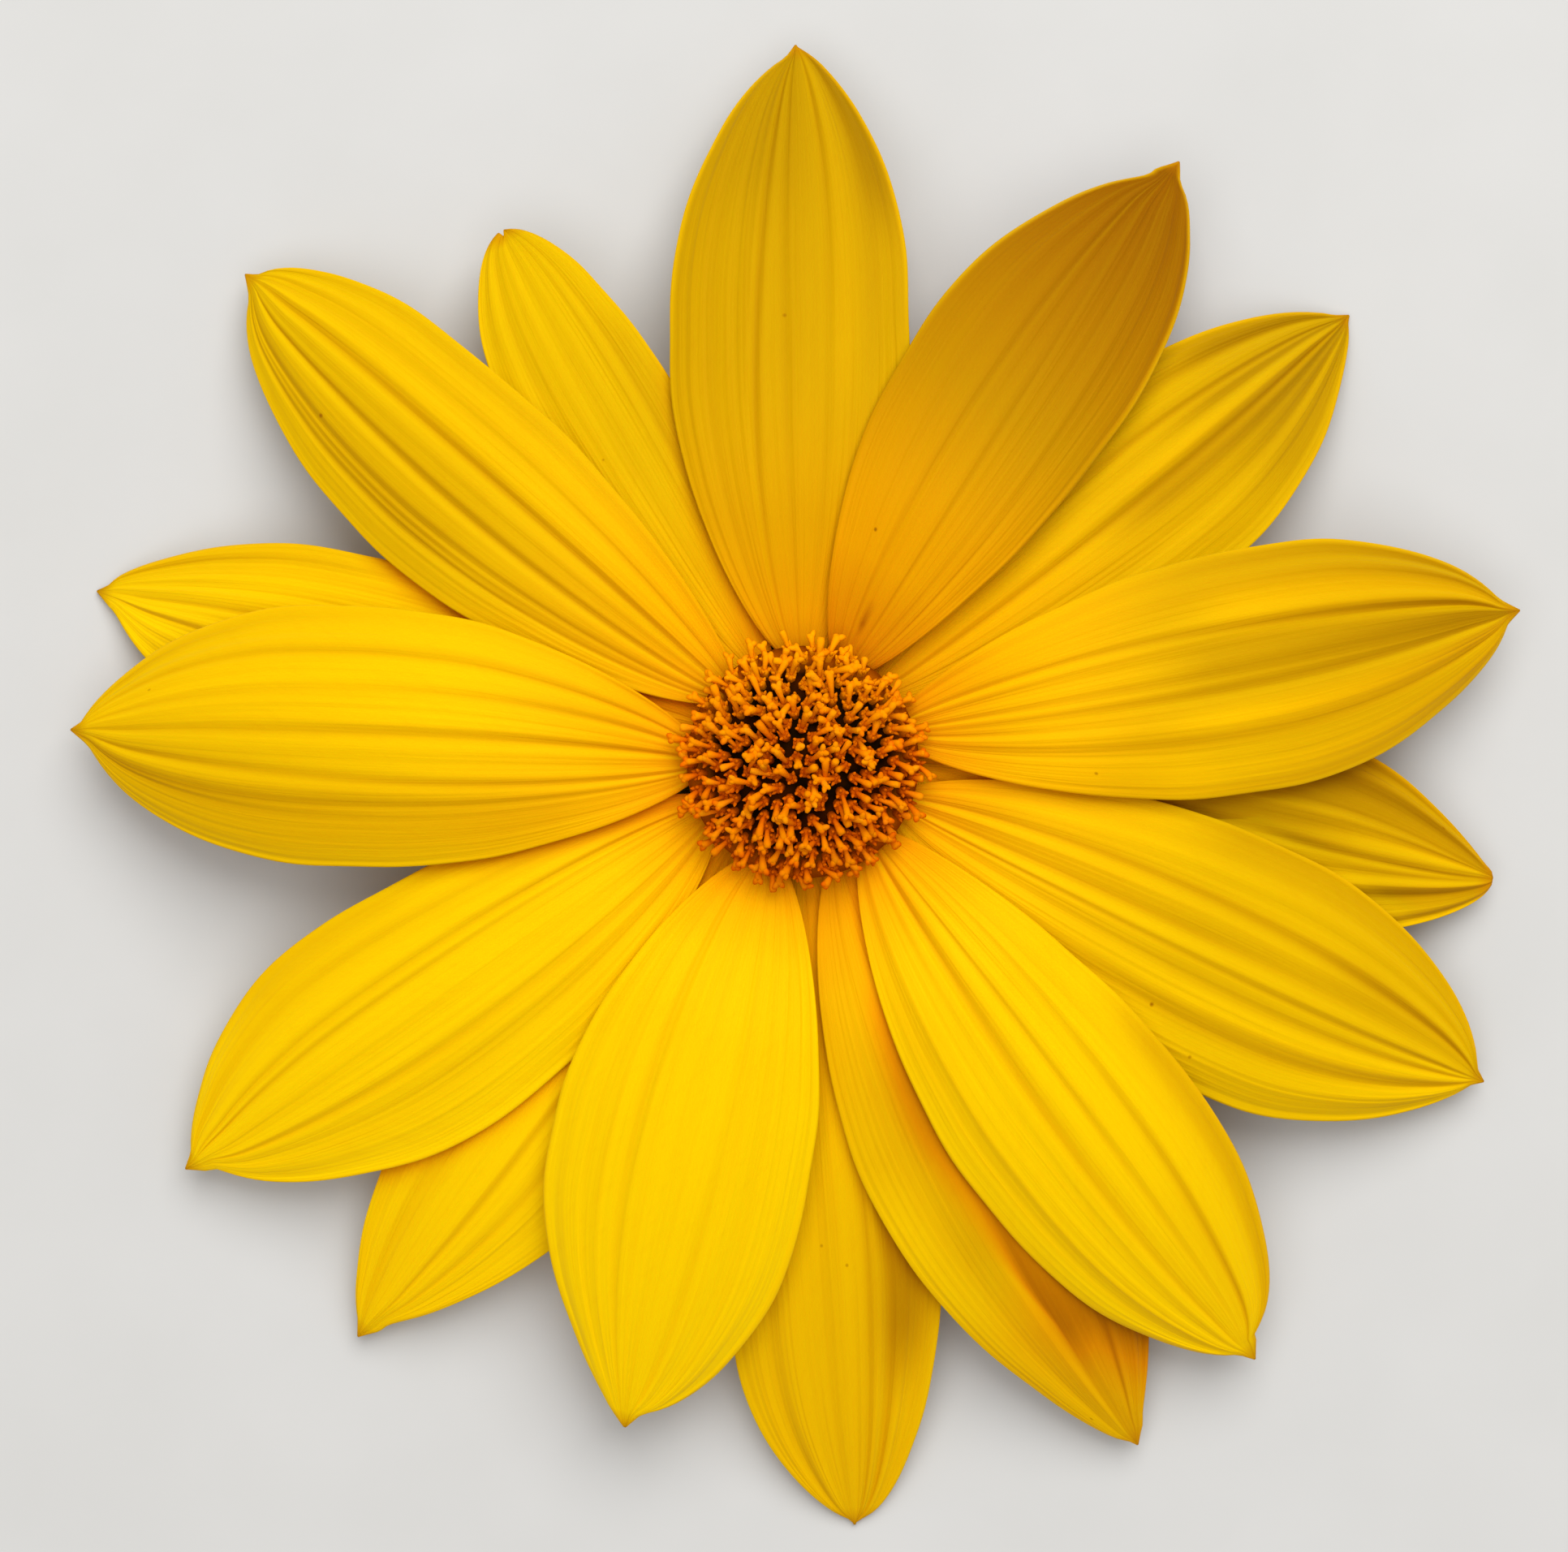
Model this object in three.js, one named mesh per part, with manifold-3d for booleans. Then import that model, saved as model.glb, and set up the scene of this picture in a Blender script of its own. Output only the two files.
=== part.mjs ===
// A picked yellow blossom of the daisy family, lying face up on the cut end of its short stem
// and on the tips of its lowest petals. Sixteen ray petals in three levels, a domed disc of
// forked florets, and the green head with its bracts and stem.
//
// Millimetres, +Z up out of the face. The origin is on the surface that the blossom lies on,
// under the middle of its outline. The blossom's own axis stands a little off the origin,
// because the petals differ in length.

import * as THREE from 'three';
import { mergeVertices } from 'three/addons/utils/BufferGeometryUtils.js';
import Module from 'manifold-3d';

const wasm = await Module();
wasm.setup();

// ---------------------------------------------------------------- driving dimensions

const AXIS = new THREE.Vector2(0.6, 2.0); // where the blossom's axis stands

// Levels. Every petal follows one common dome, and each level lies a little above the last,
// so petals that cross in plan never touch.
const PETAL_THICK = 0.7; // measured upright; about 0.62 square to the blade where it slopes
const ROOT_RADIUS = 6.6; // where a petal's claw ends inside the head
const ROOT_HEIGHT = 11.7;
const CLAW_END = 8; // out to this radius the claw stays narrow
const CLAW_HALF = 0.8;
const RIM_HEIGHT = 12.3; // lowest level at the edge of the disc
const RIM_STEP = 1.0; // from one level to the next at the edge of the disc
const FULL_STEP = 2.0; // and where the petals are widest
const STEP_FROM = 9;
const STEP_TO = 24;
const ARCH = 0.9; // how far the petals rise before they droop
const ARCH_TOP = 21;
const DROOP = 13.2; // from the top of the arch to the radius DROOP_END
const DROOP_END = 64;
const DROOP_POWER = 1.7;
const RESTING = [3, 9, 14]; // petals whose tips lie on the surface, three low points round the weight
const SETTLE_FROM = 0.7; // share of a resting petal's length beyond which it bends down

// Cross-section of a petal
const CROWN = 0.85; // how far a point CROWN_AT off the middle lies below it
const CROWN_AT = 10;
const GROOVE = 0.3; // depth of the two main grooves
const GROOVE_AT = 0.34; // of the half width
const GROOVE_FULL = 6; // half width from which the grooves have their full depth
const CLAW_FULLNESS = 0.72; // of the outline between claw and widest place: less is fuller
const NIB_FLARE = 0.7; // how fast the nib widens away from its point, on each side
const NIB_FOOT = 1.1; // half width at which it widens no more
const TIP_HALF = 0.4; // half width at the very tip
const HOOK_FROM = 0.9; // share of the length beyond which the tip turns aside

// Each petal's own measures. angle: direction of the tip, degrees from +X. reach: axis to tip.
// root: direction of the claw. left, right: each side's outline, seen from the root. hook: how
// far the tip turns to the left. nib: 1 for a pointed nib, 0 for a round tip. level: 0 lowest,
// 2 highest.
// An outline is [half width, distance out where it is widest, fullness of the outer part (less is
// fuller), bulge (more stays broad for longer), how far short of the tip the blade ends and only
// the nib goes on].
const petalRow = (angle, reach, root, left, right, hook, nib, level) => (
  { angle, reach, root, left, right, hook, nib, level });

// Clockwise from the top one
const PETALS = [
  petalRow(90.6, 59.8, 90, [10.6, 34, 0.63, 1.16, 1.0], [9.1, 34, 0.73, 1.47, 0.2], -0.07, 1, 1),
  petalRow(58.6, 58.7, 67, [9.8, 33, 0.86, 1.34, 1.6], [8.2, 39, 0.53, 1.24, 1.4], -0.71, 1, 2),
  petalRow(39.4, 59.5, 45, [8.4, 37, 0.60, 0.88, 1.0], [9.9, 38, 0.76, 1.05, 0.3], -0.14, 1, 0),
  petalRow(12.2, 60.9, 21, [9.1, 38, 0.57, 1.13, 1.4], [10.8, 39, 0.58, 0.94, 1.2], -0.24, 1, 2),
  petalRow(-9.6, 58.6, -1, [9.4, 38, 0.83, 1.08, 0.1], [9.0, 36, 0.50, 0.68, -0.1], 0.11, 0, 0),
  petalRow(-25.0, 63.0, -23, [10.3, 39, 0.59, 1.13, 1.0], [11.0, 40, 0.70, 1.15, 0.8], -0.09, 1, 1),
  petalRow(-52.6, 62.3, -46, [9.2, 42, 0.43, 0.84, 1.9], [10.4, 36, 0.61, 1.23, 1.1], -0.22, 1, 2),
  petalRow(-63.7, 63.7, -68, [8.9, 42, 0.84, 0.87, 0.7], [10.6, 36, 0.69, 0.90, 0.5], -0.11, 1, 1),
  petalRow(-86.0, 64.3, -90, [8.8, 42, 0.50, 0.79, 0.4], [9.0, 45, 0.70, 1.24, 0.4], -0.05, 0.7, 0),
  petalRow(-105, 56.8, -112, [9.9, 37, 0.52, 1.07, 1.4], [11.7, 33, 0.90, 1.10, -0.1], 0.06, 1, 2),
  petalRow(-127.4, 60.9, -134, [8.9, 40, 0.79, 0.88, 1.5], [8.0, 42, 0.58, 0.84, 1.2], -0.36, 1, 0),
  petalRow(-146.2, 61.7, -156, [11.0, 37, 0.63, 0.96, 1.9], [10.4, 42, 0.66, 1.08, 1.1], -0.45, 1, 1),
  petalRow(177.7, 60.8, 180, [9.9, 37, 0.62, 1.26, 1.4], [11.4, 36, 0.70, 1.37, 0.8], -0.28, 1, 2),
  petalRow(166.6, 61.1, 158, [9.2, 38, 0.68, 1.13, 1.4], [7.9, 40, 0.58, 0.95, 0.8], -0.29, 1, 0),
  petalRow(139.1, 61.9, 136, [9.9, 37, 0.51, 0.91, 1.5], [7.5, 38, 0.59, 1.74, 0.8], -0.36, 1, 1),
  petalRow(119.2, 50.6, 113, [7.7, 34, 0.55, 1.13, -0.1], [5.5, 31, 0.50, 1.17, 0.2], 0.10, 0, 0),
];

// Disc of florets
const CORE_RADIUS = 9.4;
const CORE_RIM_HEIGHT = 15.3;
const CORE_TOP_HEIGHT = 18.4;
const PLUG_RADIUS = 6.2; // the core's foot, inside the ring of claws
const PLUG_BASE_HEIGHT = 11.3;
const PLUG_TOP_HEIGHT = 12.6;
const CORE_STEPS = 4;
const CORE_SIDES = 20;
const FLORETS = 120;
const FLORET_LENGTH = 2.1; // above the core
const FLORET_SUNK = 0.9;
const FLORET_HALF = 0.4;
const FORK_HALF = 0.78;
const FORK_DEPTH = 0.68; // height of the notch, as a share of the length
const FLORET_THICK = 0.75;
const FLORET_RING = 8.8; // radius of the outermost florets' roots
const RIM_LEAN = THREE.MathUtils.degToRad(34); // how far those lean out past the dome's own slope
const LEAN_VARIES = THREE.MathUtils.degToRad(8);
const LENGTH_VARIES = 0.3;

// Green head and stem
const CUP_TOP_HEIGHT = 11.0;
// [radius, height] up the outside: the stem's cut end, its swelling, and the cup above it
const CUP_PROFILE = [
  [2.1, 0], [2.1, 2.2], [2.6, 3.6], [4.4, 4.7], [7.5, 7.0], [9.6, 9.6], [9.6, CUP_TOP_HEIGHT],
];
const BRACT_THICK = 0.8;
const BRACT_CUPPED = 0.5; // how far a bract's edges stand above its middle
const BRACT_TAPER_FROM = 0.45; // share of the length beyond which it narrows
const BRACT_TIP = 0.28; // width of the tip, as a share of the whole width
const CUP_SIDES = 20;
// Each series of bracts: how many, first direction, [radius, height] of root and tip, half
// width, and how far the middle hangs below a straight line
const BRACTS = [
  { count: 8, turn: 0, root: [5.0, 5.2], tip: [11.2, 6.4], half: 2.4, sag: 1.0 },
  { count: 9, turn: 14, root: [7.2, 7.2], tip: [13.4, 8.9], half: 2.6, sag: 0.8 },
  { count: 10, turn: 3, root: [8.8, 9.0], tip: [14.6, 11.0], half: 2.7, sag: 0.5 },
];

// ---------------------------------------------------------------- helpers

const smooth = (x) => THREE.MathUtils.smoothstep(x, 0, 1);
const radians = THREE.MathUtils.degToRad;

// A small repeatable source of random numbers from 0 to 1
function randomSource(seed) {
  let state = seed;
  return () => {
    state = (state * 1664525 + 1013904223) % 4294967296;
    return state / 4294967296;
  };
}

function toSolid(geometry) {
  const bare = geometry.index ? geometry.clone() : geometry;
  bare.deleteAttribute('normal');
  bare.deleteAttribute('uv');
  const merged = mergeVertices(bare, 1e-4);
  return new wasm.Manifold(new wasm.Mesh({
    numProp: 3,
    vertProperties: new Float32Array(merged.attributes.position.array),
    triVerts: new Uint32Array(merged.index.array),
  }));
}

function toGeometry(solid) {
  const mesh = solid.getMesh();
  const geometry = new THREE.BufferGeometry();
  geometry.setAttribute('position', new THREE.BufferAttribute(new Float32Array(mesh.vertProperties), 3));
  geometry.setIndex(Array.from(mesh.triVerts));
  geometry.computeVertexNormals();
  return geometry;
}

// A closed blade from a grid of middle points: rows along it, columns across it. Both faces are
// split into triangles alike.
function bladeGeometry(rows, thick) {
  const across = rows[0].length;
  const faces = [];
  const points = [];
  for (const side of [thick / 2, -thick / 2]) {
    for (const row of rows) {
      for (const p of row) points.push(p.x, p.y, p.z + side);
    }
  }
  const under = rows.length * across;
  const quad = (a, b, c, d) => faces.push(a, b, c, a, c, d);
  for (let i = 0; i + 1 < rows.length; i += 1) {
    for (let j = 0; j + 1 < across; j += 1) {
      const a = i * across + j;
      const b = a + across;
      faces.push(a, b, b + 1, a, b + 1, a + 1);
      faces.push(under + a, under + b + 1, under + b, under + a, under + a + 1, under + b + 1);
    }
  }
  for (let j = 0; j + 1 < across; j += 1) {
    const last = (rows.length - 1) * across;
    quad(j, j + 1, under + j + 1, under + j);
    quad(last + j + 1, last + j, under + last + j, under + last + j + 1);
  }
  for (let i = 0; i + 1 < rows.length; i += 1) {
    const a = i * across;
    const b = a + across;
    quad(b, a, under + a, under + b);
    quad(a + across - 1, b + across - 1, under + b + across - 1, under + a + across - 1);
  }
  const geometry = new THREE.BufferGeometry();
  geometry.setAttribute('position', new THREE.Float32BufferAttribute(points, 3));
  geometry.setIndex(faces);
  geometry.computeVertexNormals();
  return geometry;
}

// ---------------------------------------------------------------- ray petals

// Height of the middle of a blade above the surface, without its cross-section
function levelHeight(radius, level) {
  const rise = smooth((radius - ROOT_RADIUS) / (STEP_FROM - ROOT_RADIUS));
  const widening = smooth((radius - STEP_FROM) / (STEP_TO - STEP_FROM));
  const step = RIM_STEP * rise + (FULL_STEP - RIM_STEP) * widening;
  const base = ROOT_HEIGHT + (RIM_HEIGHT - ROOT_HEIGHT) * rise;
  const arch = ARCH * smooth((radius - STEP_FROM) / (ARCH_TOP - STEP_FROM));
  const out = Math.max(0, (radius - ARCH_TOP) / (DROOP_END - ARCH_TOP));
  return base + arch + level * step - DROOP * out ** DROOP_POWER;
}

// Half width of one side, at a distance along from the axis. The blade runs into the nib
// without a corner.
function halfWidth(petal, side, along) {
  const [widest, at, fullness, bulge, short] = side > 0 ? petal.left : petal.right;
  if (along <= CLAW_END) return CLAW_HALF;
  if (along < at) {
    const q = (along - CLAW_END) / (at - CLAW_END);
    return CLAW_HALF + (widest - CLAW_HALF) * Math.sin(q * Math.PI / 2) ** CLAW_FULLNESS;
  }
  const q = Math.min(1, (along - at) / (petal.reach - short - at));
  const blade = widest * Math.cos(q ** bulge * Math.PI / 2) ** fullness;
  const nib = petal.nib * Math.min(NIB_FOOT, NIB_FLARE * (petal.reach - along));
  return Math.max(TIP_HALF, (blade ** 4 + nib ** 4) ** 0.25);
}

// Where a petal's cross-section and its length are divided: close together at claw and tip
const ACROSS = [-1, -0.67, -GROOVE_AT, 0, GROOVE_AT, 0.67, 1];
const ALONG = [0, 0.03, 0.07, 0.13, 0.23, 0.37, 0.52, 0.65, 0.76, 0.85, 0.91, 0.95, 0.975, 0.99, 1];

function petalPoint(petal, rests, share, side) {
  const root = new THREE.Vector2(ROOT_RADIUS, 0).rotateAround(new THREE.Vector2(), radians(petal.root));
  const tip = new THREE.Vector2(petal.reach, 0).rotateAround(new THREE.Vector2(), radians(petal.angle));
  const outward = tip.clone().sub(root);
  const left = new THREE.Vector2(-outward.y, outward.x).normalize();
  const along = ROOT_RADIUS + share * (petal.reach - ROOT_RADIUS);
  const width = halfWidth(petal, side, along);
  const bend = petal.hook * smooth((share - HOOK_FROM) / (1 - HOOK_FROM));
  const offset = side * width;
  const plan = root.clone().addScaledVector(outward, share).addScaledVector(left, bend + offset);
  const grooved = Math.abs(side) === GROOVE_AT;
  const depth = grooved ? GROOVE * Math.min(1, width / GROOVE_FULL) : 0;
  const tipHeight = levelHeight(petal.reach, petal.level) - PETAL_THICK / 2;
  const settle = rests ? tipHeight * smooth((share - SETTLE_FROM) / (1 - SETTLE_FROM)) : 0;
  const crown = CROWN * (offset / CROWN_AT) ** 2;
  const height = levelHeight(plan.length(), petal.level) - crown - depth - settle;
  return new THREE.Vector3(plan.x, plan.y, Math.max(height, PETAL_THICK / 2));
}

function petalGeometry(petal, rests) {
  const rows = ALONG.map((share) => ACROSS.map((side) => petalPoint(petal, rests, share, side)));
  return bladeGeometry(rows, PETAL_THICK);
}

// ---------------------------------------------------------------- disc of florets

const CORE_RISE = CORE_TOP_HEIGHT - CORE_RIM_HEIGHT;
const DOME_RADIUS = (CORE_RADIUS ** 2 + CORE_RISE ** 2) / (2 * CORE_RISE);
const DOME_CENTRE = CORE_TOP_HEIGHT - DOME_RADIUS;

function coreSolid() {
  const profile = [new THREE.Vector2(0, PLUG_BASE_HEIGHT), new THREE.Vector2(PLUG_RADIUS, PLUG_BASE_HEIGHT)];
  profile.push(new THREE.Vector2(PLUG_RADIUS, PLUG_TOP_HEIGHT));
  for (let i = 0; i <= CORE_STEPS; i += 1) {
    const radius = CORE_RADIUS * (1 - i / CORE_STEPS);
    profile.push(new THREE.Vector2(radius, DOME_CENTRE + Math.sqrt(DOME_RADIUS ** 2 - radius ** 2)));
  }
  const geometry = new THREE.LatheGeometry(profile, CORE_SIDES);
  geometry.rotateX(Math.PI / 2);
  return toSolid(geometry);
}

// One floret: a short bar with a forked end, standing along +Y of its own outline
function floretGeometry(length) {
  const shape = new THREE.Shape();
  shape.moveTo(-FLORET_HALF, -FLORET_SUNK);
  shape.lineTo(FLORET_HALF, -FLORET_SUNK);
  shape.lineTo(FORK_HALF, length);
  shape.lineTo(0, length * FORK_DEPTH);
  shape.lineTo(-FORK_HALF, length);
  const geometry = new THREE.ExtrudeGeometry(shape, { depth: FLORET_THICK, bevelEnabled: false });
  geometry.translate(0, 0, -FLORET_THICK / 2);
  geometry.rotateX(Math.PI / 2);
  return geometry;
}

function discGeometry() {
  const random = randomSource(7);
  const golden = Math.PI * (3 - Math.sqrt(5));
  let head = coreSolid();
  for (let i = 0; i < FLORETS; i += 1) {
    const spread = Math.sqrt((i + 0.5) / FLORETS);
    const turn = i * golden;
    const radius = FLORET_RING * spread;
    const lean = Math.asin(radius / DOME_RADIUS) + RIM_LEAN * spread ** 3 + LEAN_VARIES * (random() - 0.5);
    const floret = floretGeometry(FLORET_LENGTH * (1 + LENGTH_VARIES * (random() - 0.5)));
    floret.rotateZ(random() * Math.PI);
    floret.rotateY(lean);
    floret.rotateZ(turn);
    const height = DOME_CENTRE + Math.sqrt(DOME_RADIUS ** 2 - radius ** 2);
    floret.translate(radius * Math.cos(turn), radius * Math.sin(turn), height);
    head = head.add(toSolid(floret));
  }
  return toGeometry(head);
}

// ---------------------------------------------------------------- green head and stem

function bractGeometry(bract, turn) {
  const shares = [0, 0.4, 0.7, 0.9, 1];
  const across = [-1, 0, 1];
  const rows = shares.map((share) => across.map((side) => {
    const radius = bract.root[0] + share * (bract.tip[0] - bract.root[0]);
    const sag = bract.sag * Math.sin(share * Math.PI);
    const height = bract.root[1] + share * (bract.tip[1] - bract.root[1]) - sag;
    const taper = Math.max(0, (share - BRACT_TAPER_FROM) / (1 - BRACT_TAPER_FROM));
    const width = bract.half * Math.max(BRACT_TIP, Math.sqrt(Math.cos(taper * Math.PI / 2)));
    return new THREE.Vector3(radius, side * width, height + BRACT_CUPPED * side * side);
  }));
  const geometry = bladeGeometry(rows, BRACT_THICK);
  geometry.rotateZ(turn);
  return geometry;
}

function greenGeometry() {
  const profile = [[0, 0], ...CUP_PROFILE, [0, CUP_TOP_HEIGHT]]
    .map(([radius, height]) => new THREE.Vector2(radius, height));
  const cup = new THREE.LatheGeometry(profile, CUP_SIDES);
  cup.rotateX(Math.PI / 2);
  let green = toSolid(cup);
  for (const bract of BRACTS) {
    for (let i = 0; i < bract.count; i += 1) {
      const turn = radians(bract.turn + i * 360 / bract.count);
      green = green.add(toSolid(bractGeometry(bract, turn)));
    }
  }
  return toGeometry(green);
}

// ---------------------------------------------------------------- the blossom

function addPiece(group, name, geometry, material) {
  const mesh = new THREE.Mesh(geometry, material);
  mesh.name = name;
  group.add(mesh);
}

const blossom = new THREE.Group();
blossom.position.set(AXIS.x, AXIS.y, 0);

PETALS.forEach((petal, index) => {
  const number = index + 1;
  const geometry = petalGeometry(petal, RESTING.includes(number));
  const material = new THREE.MeshStandardMaterial({ color: 0xf7c400, roughness: 0.55, metalness: 0 });
  addPiece(blossom, `ray_petal_${String(number).padStart(2, '0')}`, geometry, material);
});
addPiece(blossom, 'disc_florets', discGeometry(),
  new THREE.MeshStandardMaterial({ color: 0xe07a10, roughness: 0.7, metalness: 0 }));
addPiece(blossom, 'green_head_and_stem', greenGeometry(),
  new THREE.MeshStandardMaterial({ color: 0x6f8a35, roughness: 0.75, metalness: 0 }));

const part = new THREE.Group();
part.add(blossom);

export default part;
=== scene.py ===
# Looks for the picked blossom: fine petals with pleats and veins, a disc of forked florets, and
# the green head with its bracts and hairy stem. The solids' own measures, in millimetres, are
# repeated here, and each piece stays where its solid is.

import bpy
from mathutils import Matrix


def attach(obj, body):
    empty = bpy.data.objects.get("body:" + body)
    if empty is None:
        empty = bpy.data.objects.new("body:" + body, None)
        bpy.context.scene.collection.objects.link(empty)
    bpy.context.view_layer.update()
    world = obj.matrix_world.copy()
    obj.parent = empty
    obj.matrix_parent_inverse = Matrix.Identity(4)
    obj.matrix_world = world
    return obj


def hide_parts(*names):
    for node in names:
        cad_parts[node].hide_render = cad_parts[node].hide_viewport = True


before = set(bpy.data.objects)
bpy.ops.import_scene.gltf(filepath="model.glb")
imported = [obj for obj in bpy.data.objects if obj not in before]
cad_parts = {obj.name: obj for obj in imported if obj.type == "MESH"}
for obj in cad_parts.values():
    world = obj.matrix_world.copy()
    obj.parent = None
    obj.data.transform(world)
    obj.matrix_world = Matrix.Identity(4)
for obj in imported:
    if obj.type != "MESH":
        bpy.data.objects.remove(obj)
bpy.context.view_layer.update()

import math

import bpy
import numpy as np
from mathutils import Vector

MM = 0.001

# --- measures shared with the solids

AXIS = (0.6, 2.0)  # where the blossom's axis stands

ROOT_RADIUS = 6.6
ROOT_HEIGHT = 11.7
CLAW_END = 8.0
CLAW_HALF = 0.8
RIM_HEIGHT = 12.3
RIM_STEP = 1.0
FULL_STEP = 2.0
STEP_FROM = 9.0
STEP_TO = 24.0
ARCH = 0.9
ARCH_TOP = 21.0
DROOP = 13.2
DROOP_END = 64.0
DROOP_POWER = 1.7
RESTING = (3, 9, 14)
SETTLE_FROM = 0.7

SOLID_THICK = 0.7
CROWN = 0.85
CROWN_AT = 10.0
GROOVE = 0.3
GROOVE_FULL = 6.0
CLAW_FULLNESS = 0.72
NIB_FOOT = 1.1  # half width of the nib where it leaves the blade
NIB_FLARE = 0.7  # how fast it widens away from its point
TIP_HALF = 0.08
BLUNT = 0.8  # radius of the tip of a petal without a nib
HOOK_FROM = 0.9

CORE_RADIUS = 9.4
CORE_RIM_HEIGHT = 15.3
CORE_TOP_HEIGHT = 18.4


class Petal:
    """angle, reach, root, left, right, hook, nib and level are the solid's, with an outline for
    each side: half width, distance out where it is widest, fullness of the outer part (less is
    fuller), bulge (more stays broad for longer), and how far short of the tip the blade ends.
    tone: how much more orange and duller this petal is towards its tip, partly its own colour and
    partly painted shade, dim: how much darker it is near its base, in the middle and near its tip,
    painted shade for how the light falls on it, ember: how orange it is at its base, all 0 to 1.
    grooves: for each, where it runs at the tip and at the base (1 is the left edge, -1 the
    right), its width, and its depth at the tip, half way and at the base. curls: [side, share of
    the length from which the edge curls, how far it rises at the tip]. folds: how deep its pleats
    are. cast: how much farther its shade spreads outside, deep: how dark it is. stain: where a
    brown mark lies, across and along. dusk: the line across beyond which the petal lies in painted
    shade, as a side folded down would, and from where along. bands: the broad, shallow folds that
    only show as painted light and shade: for each, where it lies across, half its width, how much
    darker it is (less than 0 is lighter), and from where to where along. notch: where a nick in
    the tip lies across, and how deep it is.
    """

    def __init__(
        self, angle, reach, root, left, right, hook, nib, level, ember, grooves, tone=0.0,
        dim=(0, 0, 0), curls=(), folds=1.0, cast=0.3, deep=1.0, stain=None, dusk=None, bands=(),
        notch=None,
    ):
        self.angle, self.reach, self.root = angle, reach, root
        self.left, self.right = left, right
        self.hook, self.nib, self.level = hook, nib, level
        self.tone, self.dim, self.ember = tone, dim, ember
        self.grooves, self.curls, self.folds = grooves, curls, folds
        self.cast, self.deep, self.stain, self.dusk = cast, deep, stain, dusk
        self.bands, self.notch = bands, notch
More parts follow.
